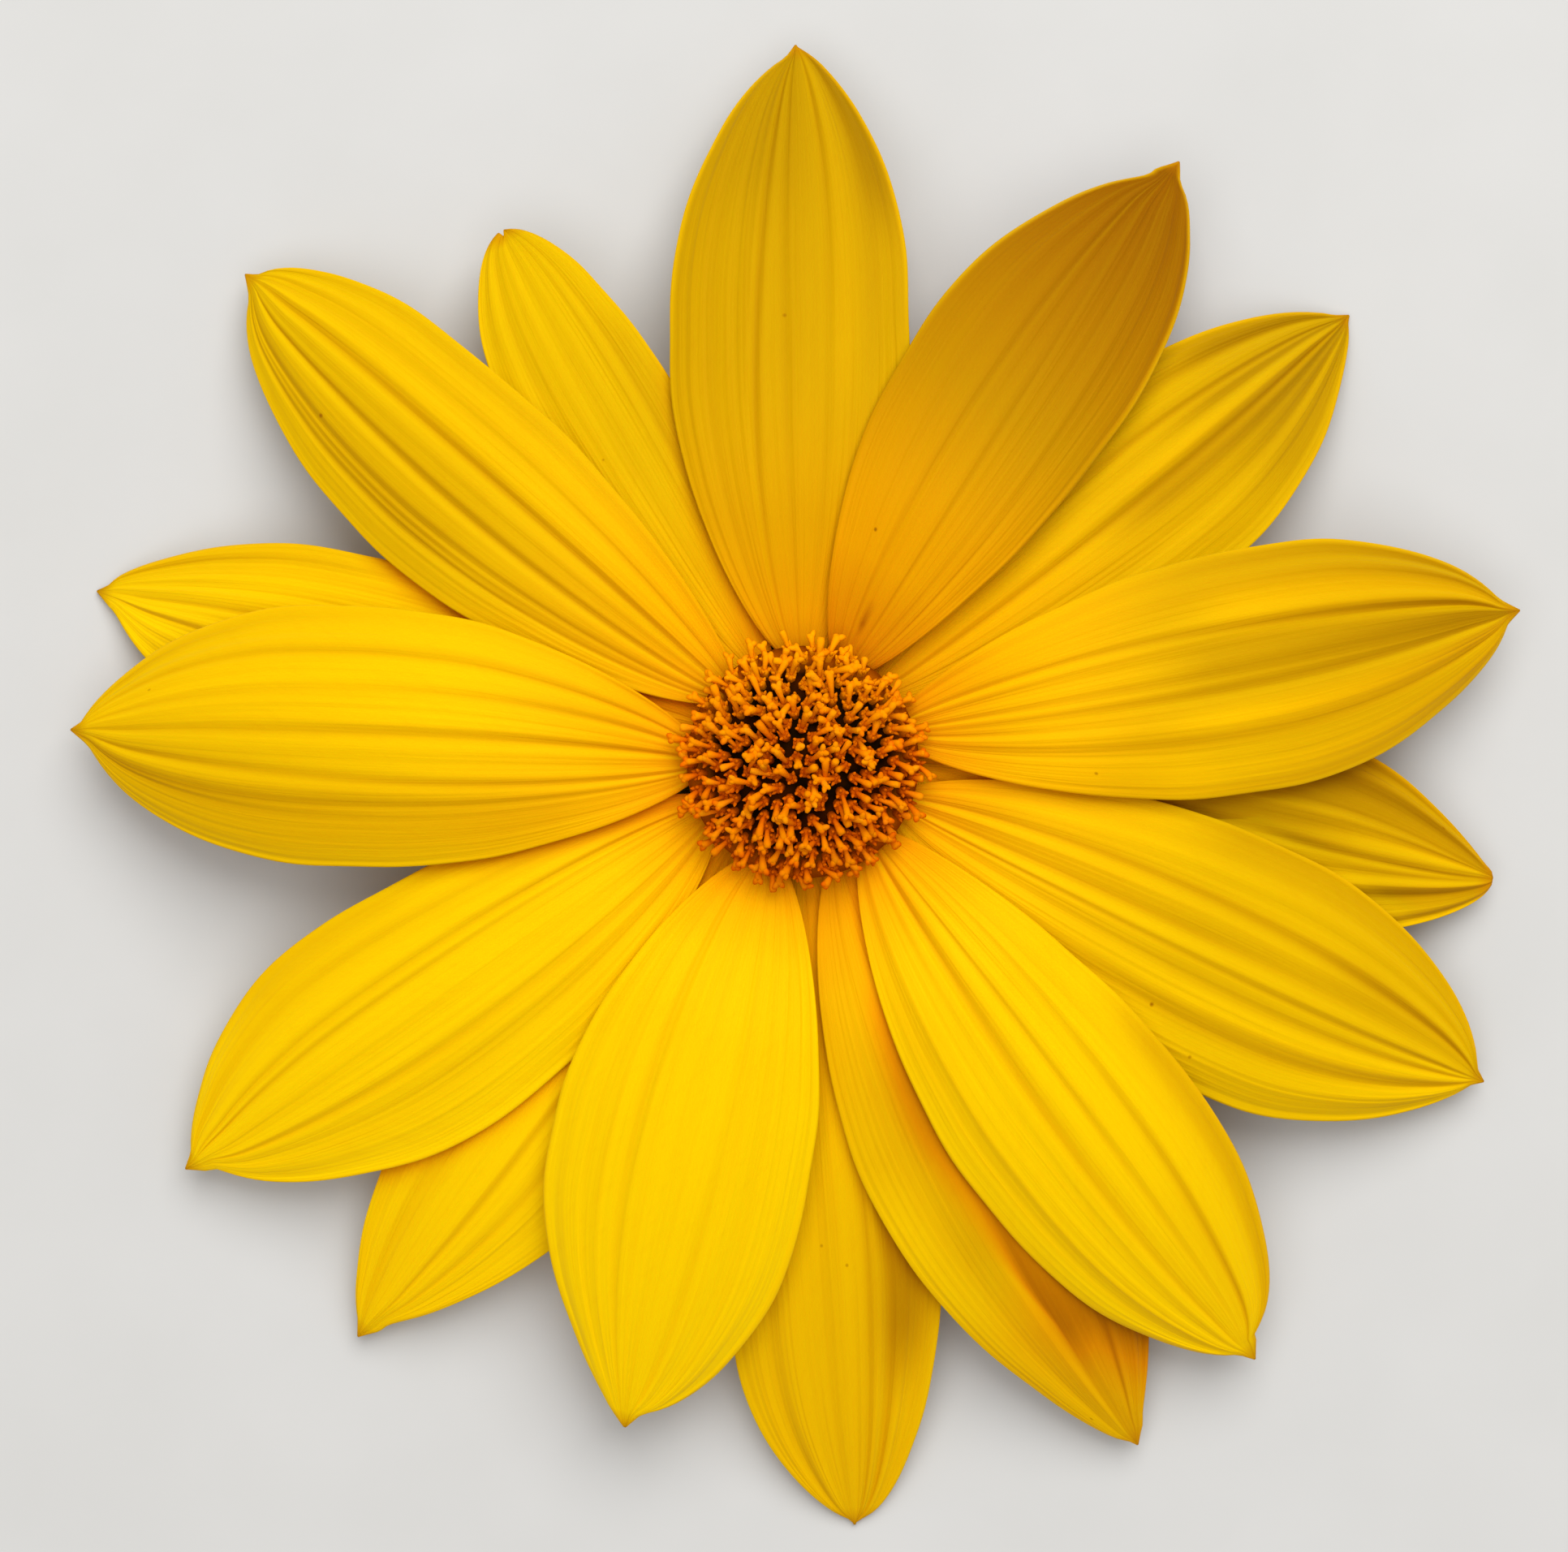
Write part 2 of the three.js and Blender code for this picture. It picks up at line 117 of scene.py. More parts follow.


# Each petal's reach and hook, and the half width, fullness, bulge and shortfall of both its sides,
# were fitted to the photograph's edges by another program. The other numbers were given one by
# one.
PETALS = [
    Petal(
        90.6, 59.8, 90, (10.6, 34, 0.63, 1.16, 1.0), (9.1, 34, 0.73, 1.47, 0.2), -0.07, 1, 1,
        tone=0.2, dim=(0.28, 0.37, 0.46), ember=1.0, deep=0.7, grooves=[
            (0.27, 0.41, 0.022, 0.8, 0.8, 0.4), (0.12, 0.1, 0.03, 0.2, 0.3, 0.2),
            (-0.3, -0.22, 0.03, 0.6, 0.25, 0.1), (-0.71, -0.6, 0.06, 0.5, 0.15, 0.1),
            (0.7, 0.7, 0.04, 0.1, 0.3, 0.35),
        ],
        bands=[
            (-0.85, 0.18, 0.26, 0.72, 1.1), (0.4, 0.5, 0.09, 0.75, 1.1),
            (-0.4, 0.15, -0.06, 0.45, 1.1),
        ],
    ),
    Petal(
        58.6, 58.7, 67, (9.8, 33, 0.86, 1.34, 1.6), (8.2, 39, 0.53, 1.24, 1.4), -0.71, 1, 2,
        tone=1.0, dim=(0.17, 0.44, 0.65), ember=1.0, folds=0.7, deep=0.15, stain=(0.2, 0.11), grooves=[
            (0.24, 0.34, 0.025, 0.5, 0.4, 0.5), (0.0, -0.05, 0.03, 0.1, 0.35, 0.35),
            (-0.29, -0.29, 0.02, 0.2, 0.15, 0.0), (-0.35, -0.45, 0.05, 0.0, 0.2, 0.4),
            (-0.5, -0.64, 0.03, 0.0, 0.2, 0.4),
        ],
        curls=[(1, 0.72, 0.9), (-1, 0.85, 0.35)],
    ),
    Petal(
        39.4, 59.5, 45, (8.4, 37, 0.6, 0.88, 1.0), (9.9, 38, 0.76, 1.05, 0.3), -0.14, 1, 0,
        tone=0.15, dim=(0.1, 0.24, 0.38), ember=0.9, folds=1.2, grooves=[
            (0.31, 0.36, 0.035, 0.8, 0.7, 0.3), (-0.12, -0.16, 0.035, 0.9, 0.8, 0.5),
            (0.66, 0.62, 0.05, 0.4, 0.4, 0.2), (-0.45, -0.45, 0.05, 0.2, 0.2, 0.2),
        ],
        curls=[(-1, 0.6, 0.3), (1, 0.75, 0.25)],
        bands=[
            (0.8, 0.2, 0.3, 0.72, 1.1), (0.21, 0.09, 0.27, 0.68, 1.1),
            (0, 0.08, -0.09, 0.55, 1.1), (-0.21, 0.11, 0.38, 0.5, 1.1),
            (-0.6, 0.4, 0.16, 0.72, 1.1),
        ],
    ),
    Petal(
        12.2, 60.9, 21, (9.1, 38, 0.57, 1.13, 1.4), (10.8, 39, 0.58, 0.94, 1.2), -0.24, 1, 2,
        tone=0.4, dim=(0.02, 0.31, 0.47), ember=0.55, folds=1.4, cast=1.6, deep=0.5, grooves=[
            (0.25, 0.38, 0.035, 0.9, 0.7, 0.6), (0.7, 0.66, 0.05, 0.35, 0.3, 0.1),
            (-0.2, -0.2, 0.03, 0.45, 0.45, 0.2), (-0.07, -0.07, 0.03, 0.1, 0.4, 0.5),
            (-0.54, -0.6, 0.045, 0.5, 0.45, 0.3), (-0.3, -0.36, 0.04, 0.0, 0.1, 0.6),
        ],
        curls=[(1, 0.85, 0.4), (-1, 0.88, 0.4)],
        bands=[
            (0.5, 0.2, -0.2, 0.5, 1.1), (0.08, 0.14, 0.14, 0.45, 1.1),
            (-0.42, 0.12, -0.28, 0.45, 1.1), (-0.85, 0.2, -0.2, 0.4, 1.1),
        ],
    ),
    Petal(
        -9.6, 58.6, -1, (9.4, 38, 0.83, 1.08, 0.1), (9.0, 36, 0.5, 0.68, -0.1), 0.11, 0, 0,
        tone=0.25, dim=(0.08, 0.46, 0.26), ember=0.9, folds=1.8, grooves=[
            (0.37, 0.4, 0.04, 0.65, 0.6, 0.3), (-0.09, 0.25, 0.035, 0.6, 0.7, 0.5),
            (-0.53, -0.4, 0.07, 0.5, 0.4, 0.2),
        ],
        curls=[(1, 0.88, -0.7), (-1, 0.85, -0.7)],
        bands=[
            (0.75, 0.35, 0.4, 0.6, 1.1), (0, 0.22, 0.24, 0.45, 0.72),
            (0.21, 0.08, -0.1, 0.75, 1.1), (-0.55, 0.2, 0.36, 0.75, 1.1),
        ],
    ),
    Petal(
        -25.0, 63.0, -23, (10.3, 39, 0.59, 1.13, 1.0), (11.0, 40, 0.7, 1.15, 0.8), -0.09, 1, 1,
        tone=0.1, dim=(0.06, 0.18, 0.17), ember=0.5, folds=1.5, grooves=[
            (0.34, 0.39, 0.045, 1.0, 1.0, 1.0), (0.07, 0.06, 0.05, 0.3, 0.7, 0.6),
            (-0.11, -0.1, 0.02, 0.5, 0.5, 0.4), (-0.26, -0.26, 0.035, 0.9, 0.4, 0.1),
            (-0.54, -0.54, 0.055, 0.7, 0.8, 0.4), (0.77, 0.7, 0.05, 0.4, 0.3, 0.1),
            (0.18, 0.18, 0.03, 0.0, 0.1, 0.4),
        ],
        bands=[
            (0.9, 0.15, 0.2, 0.45, 1.1), (0.33, 0.22, 0.2, 0.72, 1.1),
            (-0.42, 0.1, -0.12, 0.45, 1.1),
        ],
    ),
    Petal(
        -52.6, 62.3, -46, (9.2, 42, 0.43, 0.84, 1.9), (10.4, 36, 0.61, 1.23, 1.1), -0.22, 1, 2,
        tone=0.05, dim=(0, 0, 0.05), ember=0.2, cast=4.0, deep=1.4, grooves=[
            (0.34, 0.45, 0.035, 0.9, 0.5, 0.2), (0.07, 0.05, 0.03, 0.2, 0.5, 0.3),
            (-0.24, -0.2, 0.04, 0.3, 0.9, 1.0), (-0.75, -0.85, 0.08, 0.1, 0.4, 0.4),
            (0.75, 0.6, 0.06, 0.1, 0.2, 0.2),
        ],
        bands=[(0.92, 0.14, 0.34, 0.45, 1.1), (0.25, 0.2, 0.08, 0.72, 1.1)],
    ),
    Petal(
        -63.7, 63.7, -68, (8.9, 42, 0.84, 0.87, 0.7), (10.6, 36, 0.69, 0.9, 0.5), -0.11, 1, 1,
        tone=0.15, dim=(0, 0, 0.2), ember=0.25, deep=0.35, dusk=(-0.3, 0.55), grooves=[
            (0.3, 0.36, 0.04, 0.7, 0.4, 0.2), (-0.25, -0.25, 0.04, 0.4, 0.3, 0.2),
            (-0.6, -0.65, 0.05, 0.3, 0.2, 0.1),
        ],
        bands=[
            (-0.85, 0.3, 0.2, 0.1, 0.5), (-0.42, 0.25, 0.28, 0.3, 0.68), (0.1, 0.5, 0.06, 0.75, 1.1),
        ],
    ),
    Petal(
        -86.0, 64.3, -90, (8.8, 42, 0.5, 0.79, 0.4), (9.0, 45, 0.7, 1.24, 0.4), -0.05, 0.7, 0,
        tone=0.25, dim=(0, 0.1, 0.12), ember=0.5, grooves=[
            (0.5, 0.45, 0.04, 0.8, 0.7, 0.3), (0.28, 0.3, 0.03, 0.8, 0.6, 0.2),
            (-0.65, -0.6, 0.05, 0.4, 0.4, 0.1), (-0.1, -0.1, 0.05, 0.1, 0.3, 0.2),
        ],
        bands=[(0.65, 0.25, 0.6, 0.4, 0.76)],
    ),
    Petal(
        -105, 56.8, -112, (9.9, 37, 0.52, 1.07, 1.4), (11.7, 33, 0.9, 1.1, -0.1), 0.06, 1, 2,
        ember=0.1, folds=0.6, deep=0.1, grooves=[
            (0.22, 0.26, 0.03, 0.5, 0.25, 0.1), (-0.4, -0.43, 0.03, 0.4, 0.5, 0.5),
            (0.54, 0.5, 0.05, 0.1, 0.25, 0.2), (-0.67, -0.7, 0.04, 0.1, 0.25, 0.2),
            (-0.08, -0.08, 0.04, 0.0, 0.1, 0.3), (0.72, 0.72, 0.04, 0.0, 0.1, 0.3),
        ],
    ),
    Petal(
        -127.4, 60.9, -134, (8.9, 40, 0.79, 0.88, 1.5), (8.0, 42, 0.58, 0.84, 1.2), -0.36, 1, 0,
        tone=0.1, dim=(0, 0, 0.03), ember=0.0, folds=0.7, grooves=[
            (0.46, 0.44, 0.04, 0.5, 0.5, 0.2), (0.16, 0.2, 0.03, 0.4, 0.5, 0.2),
            (-0.46, -0.4, 0.07, 0.5, 0.4, 0.2),
        ],
        bands=[(0, 1.2, -0.05, 0.5, 1.1)],
    ),
    Petal(
        -146.2, 61.7, -156, (11.0, 37, 0.63, 0.96, 1.9), (10.4, 42, 0.66, 1.08, 1.1), -0.45, 1, 1,
        ember=0.3, grooves=[
            (0.3, 0.37, 0.035, 0.8, 0.7, 0.4), (-0.24, -0.26, 0.02, 0.7, 0.5, 0.2),
            (-0.36, -0.37, 0.03, 0.3, 0.6, 0.9), (-0.66, -0.6, 0.05, 0.4, 0.3, 0.1),
            (0.58, 0.55, 0.07, 0.2, 0.4, 0.3),
        ],
        bands=[(-0.9, 0.15, 0.18, 0.45, 0.8), (0.9, 0.12, -0.1, 0.45, 0.8)],
    ),
    Petal(
        177.7, 60.8, 180, (9.9, 37, 0.62, 1.26, 1.4), (11.4, 36, 0.7, 1.37, 0.8), -0.28, 1, 2,
        tone=0.1, dim=(0.04, 0.1, 0.2), ember=0.6, folds=0.75, deep=1.3, grooves=[
            (0.58, 0.62, 0.06, 0.5, 0.35, 0.4), (0.24, 0.35, 0.035, 0.5, 0.7, 0.8),
            (-0.07, -0.1, 0.035, 0.4, 0.8, 1.0), (-0.36, -0.42, 0.035, 0.5, 0.4, 0.8),
            (-0.66, -0.64, 0.03, 0.3, 0.5, 0.4), (0.78, 0.77, 0.05, 0.1, 0.2, 0.6),
            (0.48, 0.5, 0.03, 0.1, 0.4, 0.3),
        ],
        bands=[(0.6, 0.3, 0.22, 0.2, 1.1), (-0.45, 0.35, -0.12, 0.3, 1.1)],
    ),
    Petal(
        166.6, 61.1, 158, (9.2, 38, 0.68, 1.13, 1.4), (7.9, 40, 0.58, 0.95, 0.8), -0.29, 1, 0,
        dim=(0, 0, 0.02), ember=0.6, grooves=[
            (0.15, 0.3, 0.03, 0.6, 0.5, 0.3), (-0.14, -0.2, 0.03, 0.35, 0.4, 0.2),
            (-0.67, -0.6, 0.06, 0.3, 0.5, 0.2), (0.5, 0.5, 0.05, 0.15, 0.4, 0.4),
        ],
        bands=[(0.45, 0.35, -0.1, 0.6, 1.1), (-0.9, 0.15, 0.22, 0.55, 1.1)],
    ),
    Petal(
        139.1, 61.9, 136, (9.9, 37, 0.51, 0.91, 1.5), (7.5, 38, 0.59, 1.74, 0.8), -0.36, 1, 1,
        dim=(0.19, 0.27, 0.27), ember=1.0, deep=1.2, grooves=[
            (0.27, 0.34, 0.03, 0.8, 0.9, 0.4), (-0.11, -0.02, 0.05, 0.8, 1.0, 1.0),
            (0.74, 0.68, 0.025, 0.4, 0.6, 0.3), (0.6, 0.56, 0.025, 0.3, 0.6, 0.3),
            (0.67, 0.62, 0.015, 0.2, 0.5, 0.1), (-0.42, -0.43, 0.05, 0.5, 0.1, 0.5),
            (-0.62, -0.6, 0.05, 0.3, 0.1, 0.0),
        ],
        curls=[(-1, 0.7, 0.3)],
        bands=[
            (0.65, 0.16, 0.14, 0.5, 1.1), (-0.5, 0.4, -0.12, 0.1, 1.1),
            (-0.2, 0.1, -0.08, 0.1, 1.1),
        ],
    ),
    Petal(
        119.2, 50.6, 113, (7.7, 34, 0.55, 1.13, -0.1), (5.5, 31, 0.5, 1.17, 0.2), 0.1, 0, 0,
        dim=(0.2, 0.28, 0.24), ember=0.7, folds=0.6, notch=(0.35, 0.45), grooves=[
            (0.58, 0.5, 0.05, 0.2, 0.3, 0.2), (-0.51, -0.45, 0.05, 0.2, 0.45, 0.2),
        ],
        bands=[(-0.75, 0.3, 0.1, 0.3, 0.75)],
    ),
]

# --- measures of the fine pieces

PETAL_THICK = 0.3
PETAL_ROWS = 64
PETAL_COLUMNS = 121
ROW_CROWDING = 1.35  # how much closer the rows lie towards the tip
COLUMN_CROWDING = 0.2  # and the columns towards the edges
LAP = 0.38  # how far the edges sink towards the petals below, for each level up
PLEATS = 2.7  # soft ridges on each half of a petal
PLEAT_DEPTH = 0.065
RIB_SETS = 6  # sets of fine ribs, each with more ribs than the one before
FIRST_RIBS = 16
MORE_RIBS = 5
FINE_DEPTH = 0.032
GROOVE_DEPTH = 0.25
GROOVE_WIDEN = 1.6
SHOULDER = 0.45  # how far the blade swells beside a groove, as a share of its depth
SHOULDER_WIDEN = 2.6
WAVE = 0.25  # slow unevenness along a petal
RIPPLE = 0.06  # how far the edge wanders
LIP = 0.16  # how far the very edge turns up
LIP_WIDTH = 0.7
RIM_WIDTH = 0.5  # of the thin orange edge of a petal's outer half
NICK_WIDTH = 0.22  # of the half width
STAIN_WIDTH, STAIN_LENGTH = 0.07, 0.02
BAND_BLUR = 0.16  # share of the length over which a band fades in or out
BAND_DIM, BAND_SHADE = 0.6, 0.8  # how much duller and how much more orange a dark band is
LIGHT_FROM = (0.26, 0.97)  # where the light comes from, across the blossom
FLANK_GAIN = 1.5  # how soon the flank of a fold has its full colour
SHADE_REACH = 0.85  # how far the orange shade spreads beside the edge of a petal above
CAST_FROM, CAST_OVER = 42.0, 11.0  # where that shade begins to spread farther, and over how much
GRAZING = 0.15  # how far an edge may still turn to the light and have such a shade
DUSK_SLANT = 0.36  # how far the line of the dusk moves across between base and tip
DUSK_OVER = 0.2  # share of the length over which the dusk comes to its full depth
STREAK_STEP = 3.7  # how far apart the petals lie in the noise of their streaks
PETAL_SEED, DISC_SEED, GREEN_SEED = 100, 7, 21

FLORETS = 235
DISC_RING = 9.0
LEAN_MIDDLE = 40.0
LEAN_RIM = 50.0
GOLDEN = math.pi * (3 - math.sqrt(5))
# radii from foot to top
TUBE_RADII = [0.36, 0.4, 0.43, 0.44]
LOBE_RADII = [0.17, 0.18, 0.12, 0.03]
CLUB_RADII = np.array([0.17, 0.18, 0.2, 0.23, 0.28, 0.31, 0.25])
FORK_RADII = np.array([0.16, 0.23, 0.25, 0.21, 0.1])
WALL_RADII = np.array([0.3, 0.36, 0.36, 0.38, 0.42, 0.4])
UNFORKED = 0.25  # share of the florets whose rod has no fork
WALL_TUBES = 58
WALL_FOOT = (6.7, 12.6)  # radius and height
WALL_TOP = [(8.5, 8.9), (15.0, 15.3)]  # least and greatest radius, and height
CORE_RINGS, CORE_SIDES = 14, 64
CORE_FOOT = [(CORE_RADIUS - 1.2, 15.0), (6.2, 12.6), (6.2, 11.3), (0.01, 11.3)]

UP = np.array([0.0, 0.0, 1.0])


def smooth(x):
    x = np.clip(x, 0.0, 1.0)
    return x * x * (3 - 2 * x)


def outwards(turn):
    return np.array([math.cos(turn), math.sin(turn), 0.0])


def unit(vector):
    return vector / np.linalg.norm(vector)


# --- mesh and material helpers


def new_mesh_object(name, points, faces, uv, attributes):
    """points in millimetres from the blossom's axis; uv and attributes are per point."""
    placed = (points + np.array([*AXIS, 0.0])) * MM
    mesh = bpy.data.meshes.new(name)
    mesh.from_pydata(placed.tolist(), [], faces)
    mesh.update()
    layer = mesh.uv_layers.new(name="Along")
    index = np.zeros(len(mesh.loops), dtype=np.int32)
    mesh.loops.foreach_get("vertex_index", index)
    layer.data.foreach_set("uv", np.asarray(uv, dtype=np.float32)[index].ravel())
    for key, values in attributes.items():
        attribute = mesh.attributes.new(key, "FLOAT", "POINT")
        attribute.data.foreach_set("value", np.asarray(values, dtype=np.float32))
    mesh.polygons.foreach_set("use_smooth", [True] * len(mesh.polygons))
    obj = bpy.data.objects.new(name, mesh)
    bpy.context.scene.collection.objects.link(obj)
    return obj


class Graph:
    """A material's nodes, made with one short call each."""

    def __init__(self, name):
        self.material = bpy.data.materials.new(name)
        self.material.use_nodes = True
        self.tree = self.material.node_tree
        self.tree.nodes.clear()
        self.output = self.tree.nodes.new("ShaderNodeOutputMaterial")
        self.shader = self.tree.nodes.new("ShaderNodeBsdfPrincipled")
        self.link(self.shader.outputs[0], self.output.inputs["Surface"])

    def link(self, out, into):
        self.tree.links.new(out, into)

    def feed(self, socket, value):
        """Sets a socket to a number or colour, or links an output to it."""
        if isinstance(value, (int, float)):
            socket.default_value = value
        elif isinstance(value, tuple):
            socket.default_value = (*value, 1.0)
        else:
            self.link(value, socket)

    def set(self, **values):
        """Sets sockets of the shader, with _ for the spaces in their names."""
        for key, value in values.items():
            self.shader.inputs[key.replace("_", " ")].default_value = value

    def node(self, kind, **settings):
        made = self.tree.nodes.new(kind)
        for key, value in settings.items():
            setattr(made, key, value)
        return made

    def uv(self):
        split = self.node("ShaderNodeSeparateXYZ")
        self.link(self.node("ShaderNodeUVMap", uv_map="Along").outputs[0], split.inputs[0])
        return split.outputs[0], split.outputs[1]

    def attribute(self, name):
        return self.node("ShaderNodeAttribute", attribute_name=name).outputs["Fac"]

    def math(self, operation, a, b=0.0, clamp=False):
        made = self.node("ShaderNodeMath", operation=operation, use_clamp=clamp)
        self.feed(made.inputs[0], a)
        self.feed(made.inputs[1], b)
        return made.outputs[0]

    def above(self, value, start, gain):
        """How far a value lies above the start, times the gain, from 0 to 1."""
        return self.math("MULTIPLY", self.math("SUBTRACT", value, start), gain, clamp=True)

    def combine(self, x, y, z=0.0):
        made = self.node("ShaderNodeCombineXYZ")
        for socket, value in zip(made.inputs, (x, y, z)):
            self.feed(socket, value)
        return made.outputs[0]

    def stretch(self, across, along, seed, wide, long):
        """A place in a noise that is so many cells wide and long on the surface."""
        return self.combine(self.math("MULTIPLY", across, wide), self.math("MULTIPLY", along, long), seed)

    def noise(self, vector, scale, detail=3.0, roughness=0.5):
        made = self.node("ShaderNodeTexNoise")
        made.inputs["Scale"].default_value = scale
        made.inputs["Detail"].default_value = detail
        made.inputs["Roughness"].default_value = roughness
        self.link(vector, made.inputs["Vector"])
        return made.outputs["Fac"]

    def ramp(self, value, stops):
        made = self.node("ShaderNodeValToRGB")
        ramp = made.color_ramp
        while len(ramp.elements) < len(stops):
            ramp.elements.new(0.5)
        for element, (place, colour) in zip(ramp.elements, stops):
            element.position = place
            element.color = (*colour, 1.0)
        self.link(value, made.inputs[0])
        return made.outputs[0]

    def mix(self, share, a, b, blend="MIX"):
        made = self.node("ShaderNodeMix", data_type="RGBA", blend_type=blend)
        for index, value in ((0, share), (6, a), (7, b)):
            self.feed(made.inputs[index], value)
        return made.outputs[2]

    def tint(self, colour, mark, share, towards):
        """The colour, mixed with another one as far as the mark times the share says."""
        return self.mix(self.math("MULTIPLY", mark, share, clamp=True), colour, towards)

    def bump(self, height, distance, strength=1.0, before=None):
        made = self.node("ShaderNodeBump")
        made.inputs["Distance"].default_value = distance
        made.inputs["Strength"].default_value = strength
        self.link(height, made.inputs["Height"])
        if before is not None:
            self.link(before, made.inputs["Normal"])
        return made.outputs[0]


def linear(red, green, blue):
    """An sRGB colour, 0 to 255, as the linear numbers that shaders take."""
    values = []
    for value in (red, green, blue):
        share = value / 255
        values.append(share / 12.92 if share <= 0.04045 else ((share + 0.055) / 1.055) ** 2.4)
    return tuple(values)


# --- petals


def level_height(radius, level):
    rise = smooth((radius - ROOT_RADIUS) / (STEP_FROM - ROOT_RADIUS))
    widening = smooth((radius - STEP_FROM) / (STEP_TO - STEP_FROM))
    step = RIM_STEP * rise + (FULL_STEP - RIM_STEP) * widening
    base = ROOT_HEIGHT + (RIM_HEIGHT - ROOT_HEIGHT) * rise
    arch = ARCH * smooth((radius - STEP_FROM) / (ARCH_TOP - STEP_FROM))
    out = np.maximum(0.0, (radius - ARCH_TOP) / (DROOP_END - ARCH_TOP))
    return base + arch + level * step - DROOP * out**DROOP_POWER


def half_width(petal, side, along):
    """Half width of one side at a distance from the axis, with a nib that comes to a point."""
    widest, at, fullness, bulge, short = petal.left if side > 0 else petal.right
    body_end = petal.reach - short
    grow = np.clip((along - CLAW_END) / (at - CLAW_END), 0, 1)
    inner = CLAW_HALF + (widest - CLAW_HALF) * np.sin(grow * math.pi / 2) ** CLAW_FULLNESS
    taper = np.clip((along - at) / (body_end - at), 0, 1)
    outer = widest * np.clip(np.cos(taper**bulge * math.pi / 2), 0, 1) ** fullness
    short = np.clip(petal.reach - along, 0, None)
    nib = petal.nib * np.clip(NIB_FLARE * short, 0, NIB_FOOT) + TIP_HALF
    if petal.nib == 0:
        nib = np.maximum(nib, np.sqrt(BLUNT**2 - np.clip(BLUNT - short, 0, BLUNT) ** 2))
    return np.where(along < at, inner, (outer**4 + nib**4) ** 0.25)


def groove_relief(petal, u, t):
    """Depth of the grooves, with the swellings beside them, and how dark the painted shade in their
    creases is.
    """
    relief, crease_shade = np.zeros_like(u), np.zeros_like(u)
    for at_tip, at_base, width, tip, middle, base in petal.grooves:
        line = at_base + (at_tip - at_base) * smooth(t)
        inner, outer = base + (middle - base) * t * 2, middle + (tip - middle) * (t - 0.5) * 2
        strength = np.where(t > 0.5, outer, inner)
        away = (u - line) / (GROOVE_WIDEN * width)
        hollow = np.exp(-(away**2))
        swell = SHOULDER * np.exp(-((away / SHOULDER_WIDEN) ** 2))
        relief += strength * (swell - (1 + SHOULDER) * hollow)
        crease_shade += strength * hollow
    return relief, np.clip(crease_shade, 0, 1)


def pleat_relief(petal, u, t, phase):
    """Height of the soft ridges along the petal, with slighter ones between them."""
    swing = PLEATS * u + 0.5 * u * u * np.sin(phase[3]) + 0.18 * np.sin(t * 3 + phase[2])
    pleats = 0.9 * np.cos(2 * math.pi * swing)
    between = np.cos(2 * math.pi * 1.63 * swing + phase[4] + 1.3 * t)
    pleats += (0.3 + 0.2 * np.sin(phase[7] + 4 * t)) * between
    return pleats * (petal.folds * PLEAT_DEPTH * (0.5 + 0.7 * smooth(t)))


def rib_relief(u, t, phase):
    """Height of the fine ribs, which come and go along the petal."""
    fine = np.zeros_like(u)
    for k in range(RIB_SETS):
        count = FIRST_RIBS + MORE_RIBS * k
        fade = 0.5 + 0.5 * np.sin(t * (2.3 + 0.6 * k) + phase[10 + k] + 3 * u)
        bent = 0.6 * np.sin(2.2 * t + phase[30 + k])
        fine += fade * np.cos(count * math.pi * u + phase[20 + k] + bent)
    return FINE_DEPTH * fine / 2


def edge_rise(petal, u, t, from_edge):
    """How far the very edge turns up, and how far a curled edge rises or sinks."""
    rise = LIP * smooth(1 - from_edge / LIP_WIDTH)
    for side, begin, most in petal.curls:
        curl = most * smooth((t - begin) / (1 - begin)) * smooth((np.abs(u) - 0.45) / 0.55) ** 1.5
        rise = rise + np.where(u * side > 0, curl, 0)
    return rise


def colour_marks(petal, u, t, crease_shade, flank, from_edge):
    """What the colours need to know at each point of a petal."""
    marks = {
        "crease_shade": crease_shade,
        "flank": flank,
        "rim": smooth(1 - from_edge / RIM_WIDTH) * smooth((t - 0.4) / 0.3),
        "dim": np.interp(t, (0.1, 0.25, 0.5, 0.9), (0.5 * petal.dim[0], *petal.dim)),
        "stain": np.zeros_like(u),
        "shade": np.zeros_like(u),
    }
    for across, wide, darker, start, end in petal.bands:
        fade_in = smooth((t - start) / BAND_BLUR + 0.5)
        along_band = fade_in * (1 - smooth((t - end) / BAND_BLUR + 0.5))
        band = darker * along_band * np.exp(-(((u - across) / wide) ** 2))
        marks["dim"] += np.where(band > 0, BAND_DIM * band, band)
        marks["shade"] += np.clip(BAND_SHADE * band, 0, None)
    if petal.stain:
        across, out = petal.stain
        mark = ((u - across) / STAIN_WIDTH) ** 2 + ((t - out) / STAIN_LENGTH) ** 2
        marks["stain"] = np.exp(-mark)
    return marks


